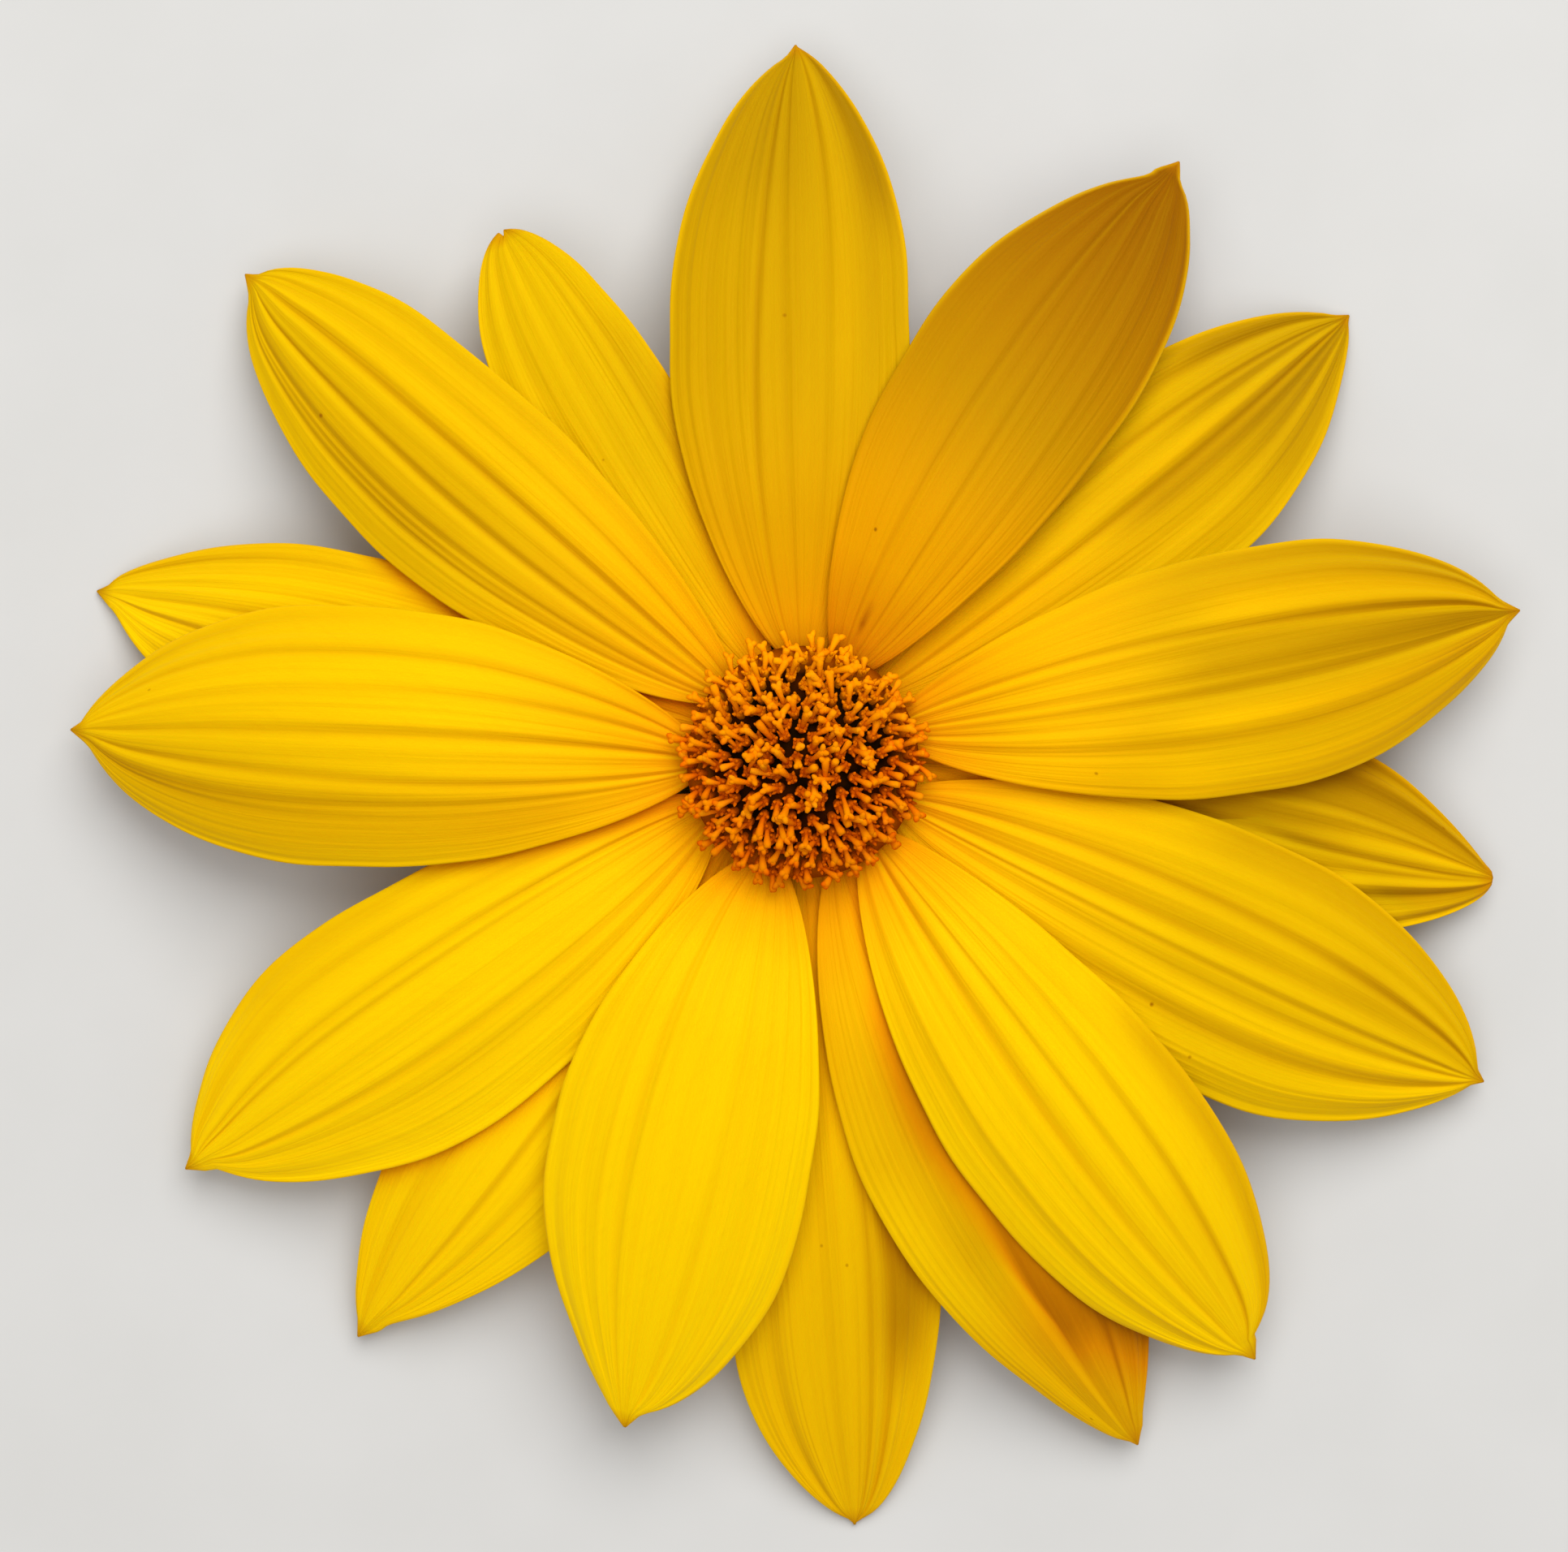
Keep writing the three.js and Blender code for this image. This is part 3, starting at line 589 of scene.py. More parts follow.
def petal_sheet(petal, rests, shares, sides, rng):
    """Middle points of the blade, one row for each share of the length, the places across and
    along, and the marks for its colours."""
    root_turn, tip_turn = math.radians(petal.root), math.radians(petal.angle)
    root = ROOT_RADIUS * np.array([math.cos(root_turn), math.sin(root_turn)])
    tip = petal.reach * np.array([math.cos(tip_turn), math.sin(tip_turn)])
    outward = tip - root
    left = np.array([-outward[1], outward[0]]) / np.hypot(*outward)
    along = ROOT_RADIUS + shares * (petal.reach - ROOT_RADIUS)
    widths = {side: half_width(petal, side, along) for side in (1, -1)}
    u, t = np.meshgrid(sides, shares)
    width = np.where(u > 0, widths[1][:, None], widths[-1][:, None])
    phase = rng.uniform(0, 2 * math.pi, 40)
    # the edge wanders a little, most where the petal is broad
    wander = RIPPLE * np.sin(t * 21 + phase[0]) + RIPPLE / 2 * np.sin(t * 39 + phase[1] + np.sign(u))
    ripple = wander * np.abs(u) ** 3 * smooth((t - 0.15) / 0.2) * smooth((0.93 - t) / 0.1)
    bend = petal.hook * smooth((t - HOOK_FROM) / (1 - HOOK_FROM))
    offset = u * width + ripple * np.sign(u)
    plan = root + t[..., None] * outward + (offset + bend)[..., None] * left
    if petal.notch:
        across, deep = petal.notch
        nick = deep * np.exp(-(((u - across) / NICK_WIDTH) ** 2)) * smooth((t - 0.96) / 0.04)
        plan = plan - nick[..., None] * outward / np.hypot(*outward)
    radius = np.hypot(plan[..., 0], plan[..., 1])
    room = smooth(width / GROOVE_FULL)
    relief, crease_shade = groove_relief(petal, u, t)
    slow = WAVE * np.sin(t * 4.2 + phase[5] + 1.3 * u) * np.sin(t * math.pi) * np.abs(u) ** 1.5
    from_edge = (1 - np.abs(u)) * width
    rise = edge_rise(petal, u, t, from_edge)
    crown = CROWN * (offset / CROWN_AT) ** 2
    tip_height = level_height(petal.reach, petal.level) - SOLID_THICK / 2
    settle = tip_height * smooth((t - SETTLE_FROM) / (1 - SETTLE_FROM)) if rests else 0.0
    hollow = GROOVE / 2 * room
    height = level_height(radius, petal.level) - crown - settle - hollow
    lap = LAP * petal.level * np.abs(u) ** 4 * smooth((t - 0.1) / 0.15)
    height = height - room * lap
    folded = room * (GROOVE_DEPTH * relief + pleat_relief(petal, u, t, phase))
    height = height + room * (rise + 0.3 * slow + rib_relief(u, t, phase)) + folded
    height = np.maximum(height, PETAL_THICK / 2)
    steep = np.gradient(folded, axis=1) / np.maximum(np.gradient(offset, axis=1), 1e-3)
    flank = np.tanh(FLANK_GAIN * -steep * (left @ np.array(LIGHT_FROM)))
    marks = colour_marks(petal, u, t, crease_shade, flank, from_edge)
    return np.dstack([plan, height[..., None]]), u, t, marks


def grid_faces(rows, columns, flip=False):
    faces = []
    for i in range(rows - 1):
        for j in range(columns - 1):
            a = i * columns + j
            quad = (a, a + columns, a + columns + 1, a + 1)
            faces.append(quad[::-1] if flip else quad)
    return faces


def blade(sheet, half):
    """Points and faces of a closed blade, which reaches that far above and below a sheet."""
    rows, columns = sheet.shape[:2]
    top, under = sheet.copy(), sheet.copy()
    top[..., 2] += half
    under[..., 2] -= half
    count = rows * columns
    faces = grid_faces(rows, columns)
    faces += [tuple(v + count for v in f) for f in grid_faces(rows, columns, flip=True)]
    rim = list(range(columns))
    rim += [i * columns + columns - 1 for i in range(1, rows)]
    rim += [(rows - 1) * columns + j for j in range(columns - 2, -1, -1)]
    rim += [i * columns for i in range(rows - 2, 0, -1)]
    faces += [(a, b, b + count, a + count) for a, b in zip(rim, rim[1:] + rim[:1])]
    return np.concatenate([top.reshape(-1, 3), under.reshape(-1, 3)]), faces


def beside_outline(points, outline):
    """How far points lie outside a closed outline, negative inside, and which way from it."""
    best = np.full(len(points), 1e9)
    away = np.zeros((len(points), 2))
    inside = np.zeros(len(points), dtype=bool)
    for a, b in zip(outline, np.roll(outline, -1, axis=0)):
        along = b - a
        share = np.clip(((points - a) @ along) / max(along @ along, 1e-12), 0, 1)
        offset = points - a - share[:, None] * along
        distance = np.hypot(*offset.T)
        nearer = distance < best
        best = np.where(nearer, distance, best)
        away = np.where(nearer[:, None], offset, away)
        crosses = (a[1] > points[:, 1]) != (b[1] > points[:, 1])
        rise = b[1] - a[1] if b[1] != a[1] else 1e-12
        inside ^= crosses & (points[:, 0] < (b[0] - a[0]) * (points[:, 1] - a[1]) / rise + a[0])
    return np.where(inside, -best, best), away / np.maximum(best, 1e-6)[:, None]


def petal_outline(petal):
    shares = np.linspace(0.04, 1, 40)
    sheet = petal_sheet(petal, False, shares, np.array([-1.0, 0.0, 1.0]), np.random.default_rng(1))[0]
    return np.concatenate([sheet[:, 0, :2], sheet[::-1, 2, :2]])


OUTLINES = [petal_outline(each) for each in PETALS]


def covered(number, petal, plan):
    """How each point lies to the edges of the petals above it: about 1 close beside an edge that
    keeps the light off it, down to -1 close beside one that it lies towards the light of."""
    shade, lift = np.zeros(len(plan)), np.zeros(len(plan))
    for i, other in enumerate(PETALS):
        if i + 1 == number or other.level <= petal.level:
            continue
        distance, away = beside_outline(plan, OUTLINES[i])
        outside = smooth((np.hypot(*plan.T) - CAST_FROM) / CAST_OVER)
        reach = SHADE_REACH + other.cast * outside
        deep = min(1.0, other.deep) + max(0.0, other.deep - 1) * outside
        near = np.exp(-(np.clip(distance, 0, None) / reach) ** 1.5)
        facing = np.where(distance < 0, -1, 1) * (away @ np.array(LIGHT_FROM))
        shade = np.maximum(shade, deep * near * np.clip(GRAZING - facing, 0, 1))
        lift = np.maximum(lift, near * np.clip(facing, 0, 1))
    return np.where(shade > 0.02, shade, -lift)


def in_dusk(petal, u, t):
    """How deep each point lies in the painted shade that stands for a side folded down."""
    across, out = petal.dusk
    beyond = smooth((t - out) / DUSK_OVER)
    line = across - DUSK_SLANT * (1 - np.clip((t - out) / 0.35 + 0.35, 0, 1))
    shade = smooth((u - line) / (0.32 - 0.2 * beyond)) * smooth((t - 0.12) / 0.15)
    return shade * (0.95 + 0.4 * beyond) * (1 - 0.75 * smooth((t - 0.77) / 0.14))


def make_petal(number, petal, material):
    rng = np.random.default_rng(PETAL_SEED + number)
    shares = 1 - (1 - np.linspace(0, 1, PETAL_ROWS)) ** ROW_CROWDING
    spread = np.linspace(-1, 1, PETAL_COLUMNS)
    sides = (1 - COLUMN_CROWDING) * spread + COLUMN_CROWDING * np.sin(spread * math.pi / 2)
    sheet, u, t, marks = petal_sheet(petal, number in RESTING, shares, sides, rng)
    edge = np.sqrt(np.clip(1 - (np.abs(u) ** 10), 0.02, 1))
    points, faces = blade(sheet, PETAL_THICK / 2 * edge)
    uv = np.stack([(u.ravel() + 1) / 2, t.ravel()], axis=1)
    shade = covered(number, petal, sheet[..., :2].reshape(-1, 2))
    if petal.dusk:
        shade = np.maximum(shade, in_dusk(petal, u, t).ravel())
    marks["shade"] = marks["shade"].ravel() + shade
    marks["tone"] = np.full(u.size, petal.tone)
    marks["ember"] = np.full(u.size, petal.ember)
    marks["seed"] = np.full(u.size, number * STREAK_STEP)
    obj = new_mesh_object(
        f"petal_{number:02d}", points, faces, np.concatenate([uv, uv]),
        {key: np.concatenate([mark.ravel()] * 2) for key, mark in marks.items()},
    )
    obj.data.materials.append(material)
    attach(obj, "root")
    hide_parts(f"ray_petal_{number:02d}")


def specks(g, across, along, seed):
    """A few tiny dark specks, where rare cells of a pattern have their middles."""
    cells = g.node("ShaderNodeTexVoronoi")
    cells.inputs["Scale"].default_value = 1.0
    g.link(g.stretch(across, along, seed, 9.0, 26.0), cells.inputs["Vector"])
    split = g.node("ShaderNodeSeparateColor")
    g.link(cells.outputs["Color"], split.inputs[0])
    rare = g.math("GREATER_THAN", split.outputs[0], 0.965)
    near = g.math("SUBTRACT", 1.0, g.math("MULTIPLY", cells.outputs["Distance"], 9.0), clamp=True)
    return g.math("MULTIPLY", g.math("MULTIPLY", rare, near), 1.6, clamp=True)


def petal_material():
    g = Graph("petal")
    across, along = g.uv()
    seed = g.attribute("seed")
    # streaks: noise stretched along the petal, which gathers at claw and tip as veins do
    streak = g.noise(g.stretch(across, along, seed, 26.0, 1.3), 1.0, 3.0, 0.6)
    fine = g.noise(g.stretch(across, along, seed, 75.0, 3.0), 1.0, 2.0)
    broad = g.noise(g.stretch(across, along, seed, 3.0, 3.0), 1.0, 2.0)
    # darker and deeper orange towards the base: partly the petals' own colour, partly painted warm shade
    # near the disc
    bright = g.ramp(along, [
        (0.0, (0.66, 0.13, 0.0)), (0.07, (0.95, 0.33, 0.0)), (0.13, (0.97, 0.46, 0.0)),
        (0.2, (0.97, 0.56, 0.0)), (0.42, (0.98, 0.61, 0.0)), (1.0, (1.0, 0.61, 0.0)),
    ])
    orange = g.ramp(along, [
        (0.0, (0.58, 0.11, 0.0)), (0.07, (0.93, 0.36, 0.0)), (0.2, (0.97, 0.45, 0.0)),
        (0.42, (0.98, 0.54, 0.0)), (1.0, (1.0, 0.61, 0.0)),
    ])
    # the dull ramp that a petal's tone mixes in: partly its own colour, partly painted shade
    dull_and_shaded = g.ramp(along, [
        (0.0, (0.55, 0.10, 0.0)), (0.2, (0.93, 0.38, 0.0)), (0.5, (0.90, 0.42, 0.0)),
        (0.8, (0.87, 0.33, 0.0)), (1.0, (0.87, 0.28, 0.0)),
    ])
    colour = g.mix(g.attribute("tone"), g.mix(g.attribute("ember"), bright, orange), dull_and_shaded)
    colour = g.tint(colour, g.above(streak, 0.5, 1.6), 0.5, (0.80, 0.34, 0.0))
    # and a faint slanting weave between the veins
    weave_at = g.combine(
        g.math("ADD", g.math("MULTIPLY", across, 26.0), g.math("MULTIPLY", along, 40.0)),
        g.math("SUBTRACT", g.math("MULTIPLY", along, 16.0), g.math("MULTIPLY", across, 7.0)), seed,
    )
    weave = g.noise(weave_at, 1.0, 2.0, 0.55)
    colour = g.tint(colour, g.above(weave, 0.5, 1.5), 0.3, (0.85, 0.40, 0.0))
    colour = g.tint(colour, g.above(broad, 0.45, 1.2), 0.2, (0.99, 0.63, 0.0))
    # the creases of the grooves darker and more orange: painted shade
    colour = g.tint(colour, g.attribute("crease_shade"), 0.4, (0.62, 0.25, 0.0))
    # each petal's dimness, with its darker and lighter bands: painted shade and light for how the light
    # falls on it
    colour = g.mix(1.0, colour, g.math("SUBTRACT", 1.0, g.attribute("dim")), "MULTIPLY")
    # flanks of folds are lighter towards the light, and darker away from it
    flank = g.attribute("flank")
    colour = g.tint(colour, flank, 0.45, (1.0, 0.66, 0.0))
    colour = g.tint(colour, flank, -0.45, g.mix(1.0, colour, (0.50, 0.34, 1.0), "MULTIPLY"))
    colour = g.tint(colour, g.attribute("rim"), 0.7, (0.92, 0.50, 0.0))
    # beside the edge of a petal above lies orange shade, or light that comes back from it
    shade = g.attribute("shade")
    veil = g.ramp(g.math("MULTIPLY", shade, 0.5, clamp=True), [
        (0.0, (1.0, 1.0, 1.0)), (0.25, (0.97, 0.79, 1.0)), (0.5, (0.87, 0.53, 1.0)),
        (0.67, (0.61, 0.35, 1.0)), (0.85, (0.40, 0.20, 1.0)),
    ])
    colour = g.mix(1.0, colour, veil, "MULTIPLY")
    colour = g.tint(colour, shade, -0.4, (1.0, 0.62, 0.0))
    colour = g.tint(colour, g.attribute("stain"), 0.85, (0.34, 0.08, 0.0))
    colour = g.mix(g.above(along, 0.972, 24.0), colour, (0.60, 0.20, 0.0))
    colour = g.mix(specks(g, across, along, seed), colour, (0.36, 0.13, 0.0))
    g.link(colour, g.shader.inputs["Base Color"])
    g.set(Roughness=0.55, Specular_IOR_Level=0.15, Specular_Tint=(1.0, 0.75, 0.1, 1.0))
    g.set(Subsurface_Weight=0.15, Subsurface_Scale=0.001, Subsurface_Radius=(1.0, 0.55, 0.05))
    first = g.bump(streak, 0.00022, 0.6)
    g.link(g.bump(fine, 0.00008, 0.5, before=first), g.shader.inputs["Normal"])
    return g.material


# --- disc of florets


def ring_faces(rings, sides):
    """Faces of a closed tube: its rings of points come first, and then its two end points."""
    faces = []
    for i in range(rings - 1):
        for j in range(sides):
            k = (j + 1) % sides
            faces.append((i * sides + j, i * sides + k, (i + 1) * sides + k, (i + 1) * sides + j))
    first, last = rings * sides, (rings - 1) * sides
    for j in range(sides):
        k = (j + 1) % sides
        faces.append((first, k, j))
        faces.append((first + 1, last + j, last + k))
    return faces


class Soup:
    """Collects tubes and blades into one mesh. facing: how far what is added next lies on the
    side that the light comes from, -1 to 1."""

    def __init__(self):
        self.points, self.faces, self.uv = [], [], []
        self.seed, self.upper, self.side = [], [], []
        self.facing = 0.0

    def add(self, points, faces, uv, seed, upper=1.0):
        start = sum(len(p) for p in self.points)
        self.points.append(np.asarray(points))
        self.faces += [tuple(v + start for v in f) for f in faces]
        self.uv.append(np.asarray(uv))
        self.seed.append(np.full(len(points), seed))
        self.upper.append(np.broadcast_to(upper, len(points)))
        self.side.append(np.full(len(points), self.facing))

    def tube(self, path, radii, seed, sides=8, v_range=(0.0, 1.0)):
        """A closed tube along path, with a radius at each of its points."""
        path = np.asarray(path, dtype=float)
        tangent = np.gradient(path, axis=0)
        tangent /= np.linalg.norm(tangent, axis=1)[:, None]
        helper = np.array([0.31, 0.77, 0.55])
        first = np.cross(tangent, helper)
        first /= np.linalg.norm(first, axis=1)[:, None]
        second = np.cross(tangent, first)
        turn = np.linspace(0, 2 * math.pi, sides, endpoint=False)
        ring = np.cos(turn)[None, :, None] * first[:, None] + np.sin(turn)[None, :, None] * second[:, None]
        body = path[:, None] + np.asarray(radii)[:, None, None] * ring
        count = len(path)
        points = np.concatenate([body.reshape(-1, 3), path[:1], path[-1:]])
        v = np.linspace(v_range[0], v_range[1], count)
        uv = np.stack([np.tile(np.arange(sides) / sides, count), np.repeat(v, sides)], axis=1)
        uv = np.concatenate([uv, [[0, v_range[0]], [0, v_range[1]]]])
        upper = np.concatenate([ring[..., 2].ravel(), tangent[:1, 2], tangent[-1:, 2]])
        self.add(points, ring_faces(count, sides), uv, seed, 0.5 + 0.5 * upper)

    def make(self, name):
        marks = {"seed": self.seed, "upper": self.upper, "side": self.side}
        return new_mesh_object(
            name, np.concatenate(self.points), self.faces, np.concatenate(self.uv),
            {key: np.concatenate(mark) for key, mark in marks.items()},
        )


CORE_RISE = CORE_TOP_HEIGHT - CORE_RIM_HEIGHT
DOME_RADIUS = (CORE_RADIUS**2 + CORE_RISE**2) / (2 * CORE_RISE)
DOME_CENTRE = CORE_TOP_HEIGHT - DOME_RADIUS


def dome_height(radius):
    return DOME_CENTRE + math.sqrt(DOME_RADIUS**2 - radius**2)


def add_core(soup):
    """The dark floor of the disc, between the florets, its darkness painted shade."""
    rings = []
    for i in range(CORE_RINGS + 1):
        radius = CORE_RADIUS * i / CORE_RINGS
        rings.append((radius, dome_height(radius), 0.02 * i / CORE_RINGS))
    rings += [(radius, height, 0.02) for radius, height in CORE_FOOT]
    points, uv, faces = [], [], []
    for i, (radius, height, along) in enumerate(rings):
        for j in range(CORE_SIDES):
            turn = 2 * math.pi * j / CORE_SIDES
            points.append((radius * math.cos(turn), radius * math.sin(turn), height))
            uv.append((j / CORE_SIDES, along))
            a, b = i * CORE_SIDES + j, i * CORE_SIDES + (j + 1) % CORE_SIDES
            if i + 1 < len(rings):
                faces.append((a, a + CORE_SIDES, b + CORE_SIDES, b))
    soup.add(points, faces, uv, 0.0)


def add_floret(soup, place, outward, upward, rng, spread, low, seed):
    """One floret: a small tube with four lobes, and above it a clubbed rod, most with a fork."""
    side = np.cross(upward, outward)
    around = rng.normal(0, 0.55 + 1.6 * (1 - spread) ** 1.5)
    lean = math.cos(around) * outward + math.sin(around) * side
    across = unit(np.cross(upward, lean))
    tilt = math.radians(LEAN_MIDDLE + (LEAN_RIM - LEAN_MIDDLE) * spread + 6 * low) + rng.normal(0, 0.25)
    direction = math.cos(tilt) * upward + math.sin(tilt) * lean
    half_way = unit(upward + 0.9 * direction)
    mouth = place + rng.uniform(0.5, 0.85) * half_way
    steps = np.linspace(0, 1, 4)[:, None]
    start = place - 0.4 * upward
    soup.tube(start + steps * (mouth - start), TUBE_RADII, seed, v_range=(0.06, 0.2))
    for k in range(4):
        turn = math.pi * k / 2 + seed
        out = math.cos(turn) * across + math.sin(turn) * unit(np.cross(half_way, across))
        root = mouth + 0.32 * out - 0.1 * half_way
        reach = rng.uniform(0.3, 0.5)
        path = root + steps * (0.75 * half_way + 0.65 * out) * reach
        soup.tube(path, LOBE_RADII, seed, sides=5, v_range=(0.2, 0.3))
    length = rng.uniform(1.2, 2.3) * (1 - 0.35 * spread**4)
    bow = unit(direction + 0.5 * lean)
    s = np.linspace(0, 1, 7)[:, None]
    course = 0.5 * s * (1 - s) * half_way + s * (0.55 + 0.3 * s) * direction + 0.2 * s * s * bow
    rod = mouth - 0.15 * half_way + length * course
    thick = rng.uniform(0.88, 1.15)
    neck = rng.uniform(0.38, 0.5)
    bright = rng.uniform(0.78, 0.9) + 0.08 * spread
    soup.tube(rod, CLUB_RADII * thick, seed, v_range=(neck, bright))
    if rng.uniform() < UNFORKED:
        return
    end = rod[-1]
    heading = unit(rod[-1] - rod[-2])
    for sign in (-1, 1):
        open_angle = math.radians(rng.uniform(22, 55))
        arm = math.cos(open_angle) * heading + sign * math.sin(open_angle) * across
        reach = rng.uniform(0.15, 0.5)
        path = end - 0.28 * heading + np.linspace(0, 1, 5)[:, None] * (reach + 0.28) * arm
        v_range = (bright - 0.05, min(1.0, bright + 0.1 * spread))
        soup.tube(path, FORK_RADII * thick, seed + 0.2 * sign, v_range=v_range)


def add_wall(soup, rng):
    """The outermost florets' tubes, side by side below the rim of the disc."""
    soup.facing = 0.0
    for i in range(WALL_TUBES):
        turn = 2 * math.pi * (i + rng.uniform(-0.2, 0.2)) / WALL_TUBES
        outward = outwards(turn)
        low = outward * WALL_FOOT[0] + UP * WALL_FOOT[1]
        high = outward * rng.uniform(*WALL_TOP[0]) + UP * rng.uniform(*WALL_TOP[1])
        path = low + np.linspace(0, 1, 6)[:, None] * (high - low)
        path += 0.25 * np.sin(np.linspace(0, math.pi, 6))[:, None] * outward
        soup.tube(path, WALL_RADII * rng.uniform(0.9, 1.1), 0.9 * i, v_range=(0.12, 0.27))


def make_disc(material):
    rng = np.random.default_rng(DISC_SEED)
    soup = Soup()
    add_core(soup)
    for i in range(FLORETS):
        spread = math.sqrt((i + 0.5) / FLORETS)
        turn = i * GOLDEN
        radius = max(0.05, DISC_RING * spread + rng.normal(0, 0.08))
        outward = outwards(turn)
        slope = math.asin(radius / DOME_RADIUS)
        upward = UP * math.cos(slope) + outward * math.sin(slope)
        flat = outward * math.cos(slope) - UP * math.sin(slope)
        place = outward * radius + UP * dome_height(radius)
        low = max(0.0, -math.sin(turn)) * spread
        soup.facing = math.sin(turn) * spread**2
        add_floret(soup, place, flat, upward, rng, spread, low, i * 1.618)
    add_wall(soup, rng)
    obj = soup.make("florets")
    obj.data.materials.append(material)
    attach(obj, "root")
    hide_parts("disc_florets")


def floret_material():
    g = Graph("floret")
    along = g.uv()[1]
    seed = g.attribute("seed")
    # darker towards the foot of each tube and rod: painted shade deep among the florets
    colour = g.ramp(along, [
        (0.0, (0.004, 0.001, 0.0)), (0.06, (0.08, 0.01, 0.0)), (0.2, (0.50, 0.08, 0.0)),
        (0.24, (0.62, 0.11, 0.0)), (0.30, (0.75, 0.16, 0.0)), (0.38, (0.36, 0.045, 0.0)),
        (0.52, (0.70, 0.12, 0.0)), (0.70, (0.85, 0.21, 0.0)), (0.88, (0.90, 0.29, 0.0)),
        (1.0, (0.82, 0.12, 0.0)),
    ])
    vary = g.noise(g.combine(seed, 0.0, 0.0), 3.0, 1.0)
    # some florets are redder, and the tops of others yellower
    colour = g.tint(colour, g.above(vary, 0.45, 2.2), 0.6, (0.72, 0.10, 0.0))
    yellower = g.math("MULTIPLY", g.above(vary, 0.5, -2.6), g.math("GREATER_THAN", along, 0.5))
    colour = g.tint(colour, yellower, 0.6, (0.95, 0.38, 0.01))
    coords = g.node("ShaderNodeTexCoord").outputs["Object"]
    grain = g.noise(coords, 2600.0, 2.0)
    colour = g.tint(colour, g.above(grain, 0.5, 2.0), 0.5, (0.50, 0.07, 0.0))
    # the lower sides of tubes and rods darker and redder: painted shade
    under = g.math("SUBTRACT", 0.9, g.math("MULTIPLY", g.attribute("upper"), 1.5), clamp=True)
    colour = g.mix(under, colour, (0.42, 0.05, 0.0))
    # lighter on the side the light comes from, redder on the other
    side = g.attribute("side")
    colour = g.tint(colour, side, 0.8, (1.0, 0.40, 0.0))
    colour = g.tint(colour, side, -0.5, (0.55, 0.09, 0.0))
    # the floor between the florets, painted shade: near black with brown patches, and brown orange towards
    # the rim
    patches = g.above(g.noise(coords, 420.0, 1.0), 0.4, 3.0)
    floor = g.mix(patches, (0.004, 0.001, 0.0), (0.05, 0.008, 0.0))
    floor = g.mix(g.above(along, 0.015, 300.0), floor, (0.36, 0.08, 0.0))
    colour = g.mix(g.math("GREATER_THAN", along, 0.03), floor, colour)
    g.link(colour, g.shader.inputs["Base Color"])
    g.set(Roughness=0.6, Specular_IOR_Level=0.06, Specular_Tint=(1.0, 0.5, 0.1, 1.0))
    g.link(g.bump(grain, 0.0001, 0.6), g.shader.inputs["Normal"])
    return g.material


# --- green head and stem

# radius and height, from the cut end of the stem up
CUP_PROFILE = [(2.1, 0), (2.1, 2.2), (2.6, 3.6), (4.4, 4.7), (7.5, 7.0), (9.6, 9.6), (9.6, 11.0)]
CUP_RINGS, CUP_SIDES = 60, 96
STEM_RIBS = 11
HAIRS = 420
HAIR_RINGS = (3, 44)  # from which ring of the cup to before which one it has hairs
HAIR_RADII = [0.03, 0.022, 0.008]
BRACT_THICK = 0.5
BRACT_TAPER_FROM = 0.45
BRACT_TIP = 0.28
BRACT_CUPPED = 0.5
# count, first direction, [radius, height] of root and tip, half width, sag
BRACTS = [
    (8, 0, (5.0, 5.2), (11.2, 6.4), 2.4, 1.0),
    (9, 14, (7.2, 7.2), (13.4, 8.9), 2.6, 0.8),
    (10, 3, (8.8, 9.0), (14.6, 11.0), 2.7, 0.5),
]


def smooth_profile(points, steps):
    """A rounded line through the profile's points."""
    points = np.asarray(points, dtype=float)
    lengths = np.concatenate([[0], np.cumsum(np.linalg.norm(np.diff(points, axis=0), axis=1))])
    where = np.linspace(0, lengths[-1], steps)
    line = np.stack([np.interp(where, lengths, points[:, k]) for k in (0, 1)], axis=1)
    for _ in range(6):
        line[1:-1] = 0.25 * line[:-2] + 0.5 * line[1:-1] + 0.25 * line[2:]
    return line


def add_cup(soup):
    profile = smooth_profile(CUP_PROFILE, CUP_RINGS)
    points, uv = [], []
    for radius, height in profile:
        rib = 0.09 * smooth((4.5 - height) / 2) + 0.02
        for j in range(CUP_SIDES):
            turn = 2 * math.pi * j / CUP_SIDES
            r = radius * (1 + rib * 0.5 * math.cos(STEM_RIBS * turn + 0.25 * height))
            points.append((r * math.cos(turn), r * math.sin(turn), height))
            uv.append((j / CUP_SIDES, 0.1))
    points += [(0, 0, 0), (0, 0, CUP_PROFILE[-1][1])]
    uv += [(0, 0.02), (0, 0.1)]
    soup.add(points, ring_faces(CUP_RINGS, CUP_SIDES), uv, 0.0)


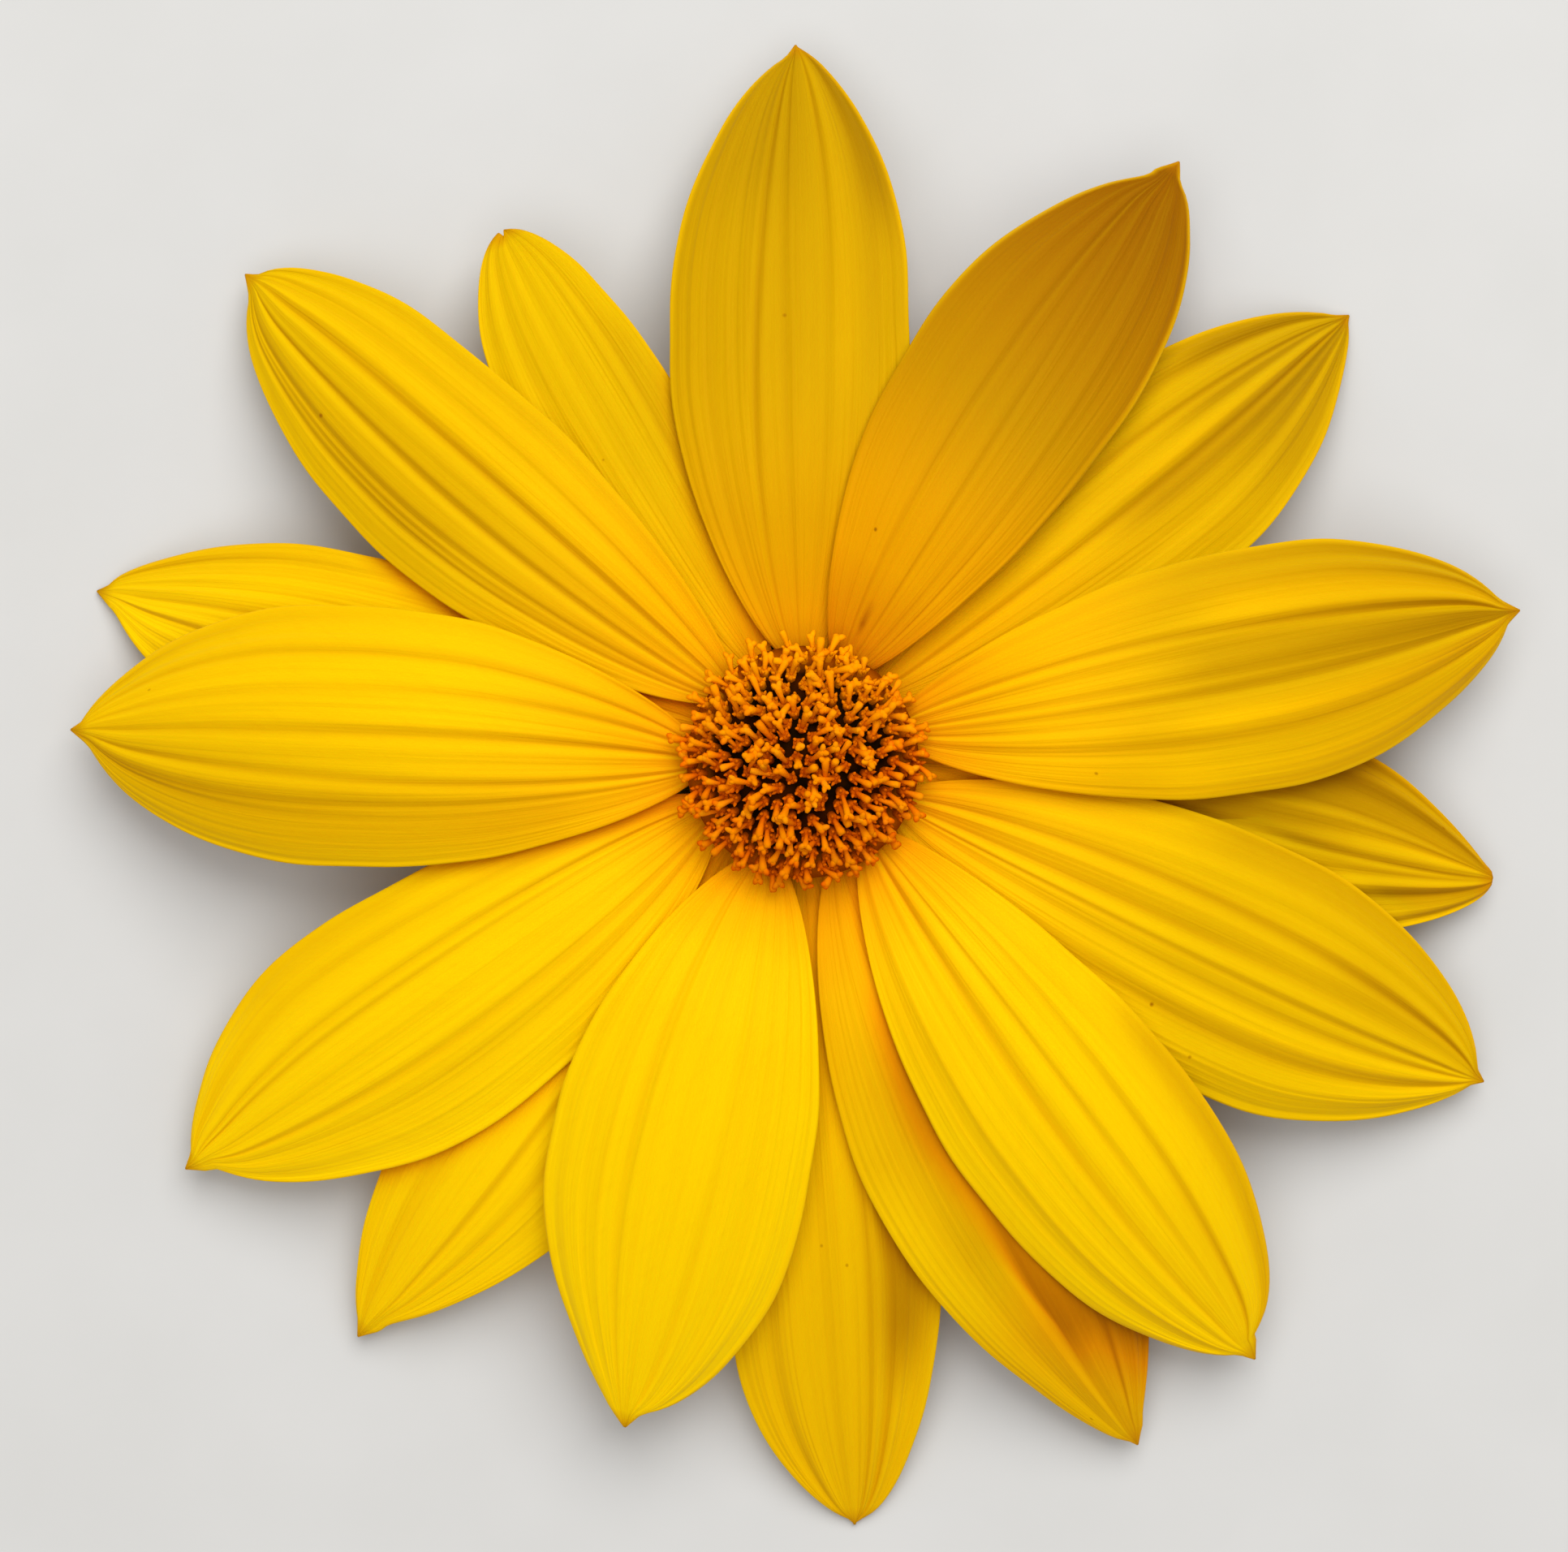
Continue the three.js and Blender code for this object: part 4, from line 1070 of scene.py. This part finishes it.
def add_bract(soup, root, tip, half, sag, turn, rng, seed):
    rows, columns = 26, 15
    share = np.linspace(0, 1, rows)
    side = np.linspace(-1, 1, columns)
    u, s = np.meshgrid(side, share)
    taper = np.clip((s - BRACT_TAPER_FROM) / (1 - BRACT_TAPER_FROM), 0, 1)
    round_off = np.sqrt(np.clip(np.cos(taper * math.pi / 2), 0, 1))
    width = half * np.maximum(BRACT_TIP * (1 - taper**8), round_off)
    radius = root[0] + s * (tip[0] - root[0])
    height = root[1] + s * (tip[1] - root[1]) - sag * np.sin(s * math.pi)
    ribs = 0.05 * np.cos(2 * math.pi * 2.5 * u) * smooth((1 - s) / 0.3)
    middle = -0.12 * np.exp(-((u / 0.12) ** 2))
    height = height + BRACT_CUPPED * u * u + ribs + middle
    swing = rng.normal(0, 0.25) * s
    y = u * width + swing
    cos_t, sin_t = math.cos(turn), math.sin(turn)
    sheet = np.dstack([radius * cos_t - y * sin_t, radius * sin_t + y * cos_t, height])
    thick = BRACT_THICK / 2 * np.sqrt(np.clip(1 - np.abs(u) ** 6, 0.1, 1))
    points, faces = blade(sheet, thick)
    uv = np.stack([(u.ravel() + 1) / 2, 0.2 + 0.8 * s.ravel()], axis=1)
    soup.add(points, faces, np.concatenate([uv, uv]), seed)


def add_hairs(soup, rng):
    """Short pale hairs on the stem and the lower cup."""
    profile = smooth_profile(CUP_PROFILE, CUP_RINGS)
    for _ in range(HAIRS):
        radius, height = profile[rng.integers(*HAIR_RINGS)]
        out = outwards(rng.uniform(0, 2 * math.pi))
        start = out * (radius - 0.1) + UP * height
        lean = out + UP * rng.uniform(-0.6, 0.2) + rng.normal(0, 0.15, 3)
        length = rng.uniform(0.35, 0.7)
        path = start + np.linspace(0, 1, 3)[:, None] * length * lean
        path[:, 2] = np.maximum(path[:, 2], 0.05)
        soup.tube(path, HAIR_RADII, 50.0, sides=3, v_range=(0.0, 0.0))


def make_green(material):
    rng = np.random.default_rng(GREEN_SEED)
    soup = Soup()
    add_cup(soup)
    seed = 1.0
    for count, first, root, tip, half, sag in BRACTS:
        for i in range(count):
            turn = math.radians(first + i * 360 / count)
            add_bract(soup, root, tip, half, sag, turn, rng, seed)
            seed += 1.37
    add_hairs(soup, rng)
    obj = soup.make("green_head")
    obj.data.materials.append(material)
    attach(obj, "root")
    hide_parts("green_head_and_stem")


def green_material():
    g = Graph("green")
    across, along = g.uv()
    seed = g.attribute("seed")
    colour = g.ramp(along, [
        (0.0, linear(190, 196, 130)), (0.1, linear(116, 140, 66)), (0.5, linear(92, 122, 50)),
        (0.85, linear(112, 140, 58)), (1.0, linear(140, 140, 70)),
    ])
    streak = g.noise(g.stretch(across, along, seed, 22.0, 2.0), 1.0, 3.0, 0.6)
    colour = g.tint(colour, streak, 0.5, linear(70, 98, 38))
    mottle = g.noise(g.node("ShaderNodeTexCoord").outputs["Object"], 700.0)
    colour = g.tint(colour, mottle, 0.3, linear(150, 168, 96))
    g.link(colour, g.shader.inputs["Base Color"])
    g.set(Roughness=0.6, Specular_IOR_Level=0.3)
    g.link(g.bump(streak, 0.0002, 0.5), g.shader.inputs["Normal"])
    return g.material


# --- floor, light and camera

# The photograph: its size and the blossom's middle in its pixels, and what one pixel measures
PHOTO_WIDTH, PHOTO_HEIGHT = 1932, 1912
MIDDLE_X, MIDDLE_Y = 989, 939
PIXEL = 0.066
LENS = 100.0
SENSOR = 36.0
PETAL_PLANE = 13.0  # height at which a pixel measures that
FLOOR_HALF = 1.5  # in metres


def make_camera():
    data = bpy.data.cameras.new("camera")
    data.lens = LENS
    data.sensor_width = SENSOR
    data.clip_start = 0.01
    data.clip_end = 10.0
    camera = bpy.data.objects.new("camera", data)
    bpy.context.scene.collection.objects.link(camera)
    distance = PHOTO_WIDTH * PIXEL * LENS / SENSOR
    x = AXIS[0] + (PHOTO_WIDTH / 2 - MIDDLE_X) * PIXEL
    y = AXIS[1] - (PHOTO_HEIGHT / 2 - MIDDLE_Y) * PIXEL
    camera.location = Vector((x, y, PETAL_PLANE + distance)) * MM
    camera.rotation_euler = (0.0, 0.0, 0.0)
    bpy.context.scene.camera = camera


def make_light(name, direction, distance, size, energy, colour):
    """direction and distance are from the middle of the floor, in metres."""
    data = bpy.data.lights.new(name, "AREA")
    data.shape = "DISK"
    data.size = size
    data.energy = energy
    data.color = colour
    light = bpy.data.objects.new(name, data)
    bpy.context.scene.collection.objects.link(light)
    towards = Vector(direction).normalized()
    light.location = towards * distance
    light.rotation_mode = "QUATERNION"
    light.rotation_quaternion = towards.to_track_quat("Z", "Y")


def make_floor():
    mesh = bpy.data.meshes.new("floor")
    corners = [(x * FLOOR_HALF, y * FLOOR_HALF, 0) for x, y in ((-1, -1), (1, -1), (1, 1), (-1, 1))]
    mesh.from_pydata(corners, [], [(0, 1, 2, 3)])
    floor = bpy.data.objects.new("floor", mesh)
    bpy.context.scene.collection.objects.link(floor)
    g = Graph("floor")
    coords = g.node("ShaderNodeTexCoord").outputs["Object"]
    grain = g.noise(coords, 60.0, 4.0)
    colour = g.mix(grain, linear(205, 205, 204), linear(213, 213, 213))
    g.link(colour, g.shader.inputs["Base Color"])
    g.set(Roughness=0.8, Specular_IOR_Level=0.1)
    mesh.materials.append(g.material)


def make_world():
    world = bpy.data.worlds.new("studio")
    world.use_nodes = True
    background = world.node_tree.nodes["Background"]
    background.inputs["Color"].default_value = (1.0, 0.98, 0.95, 1.0)
    background.inputs["Strength"].default_value = 0.28
    bpy.context.scene.world = world
    settings = bpy.context.scene.view_settings
    settings.view_transform = "Standard"
    settings.look = "None"
    settings.exposure = 0.0
    settings.gamma = 1.0


make_camera()
make_world()
make_floor()
make_light("key", (0.18, 0.62, 1.0), distance=0.8, size=0.7, energy=4.8, colour=(1.0, 0.99, 0.96))
make_light("fill", (-0.08, -0.1, 1.0), distance=1.0, size=1.2, energy=4.9, colour=(1.0, 0.99, 0.97))

petal_look = petal_material()
for index, row in enumerate(PETALS):
    make_petal(index + 1, row, petal_look)
make_disc(floret_material())
make_green(green_material())
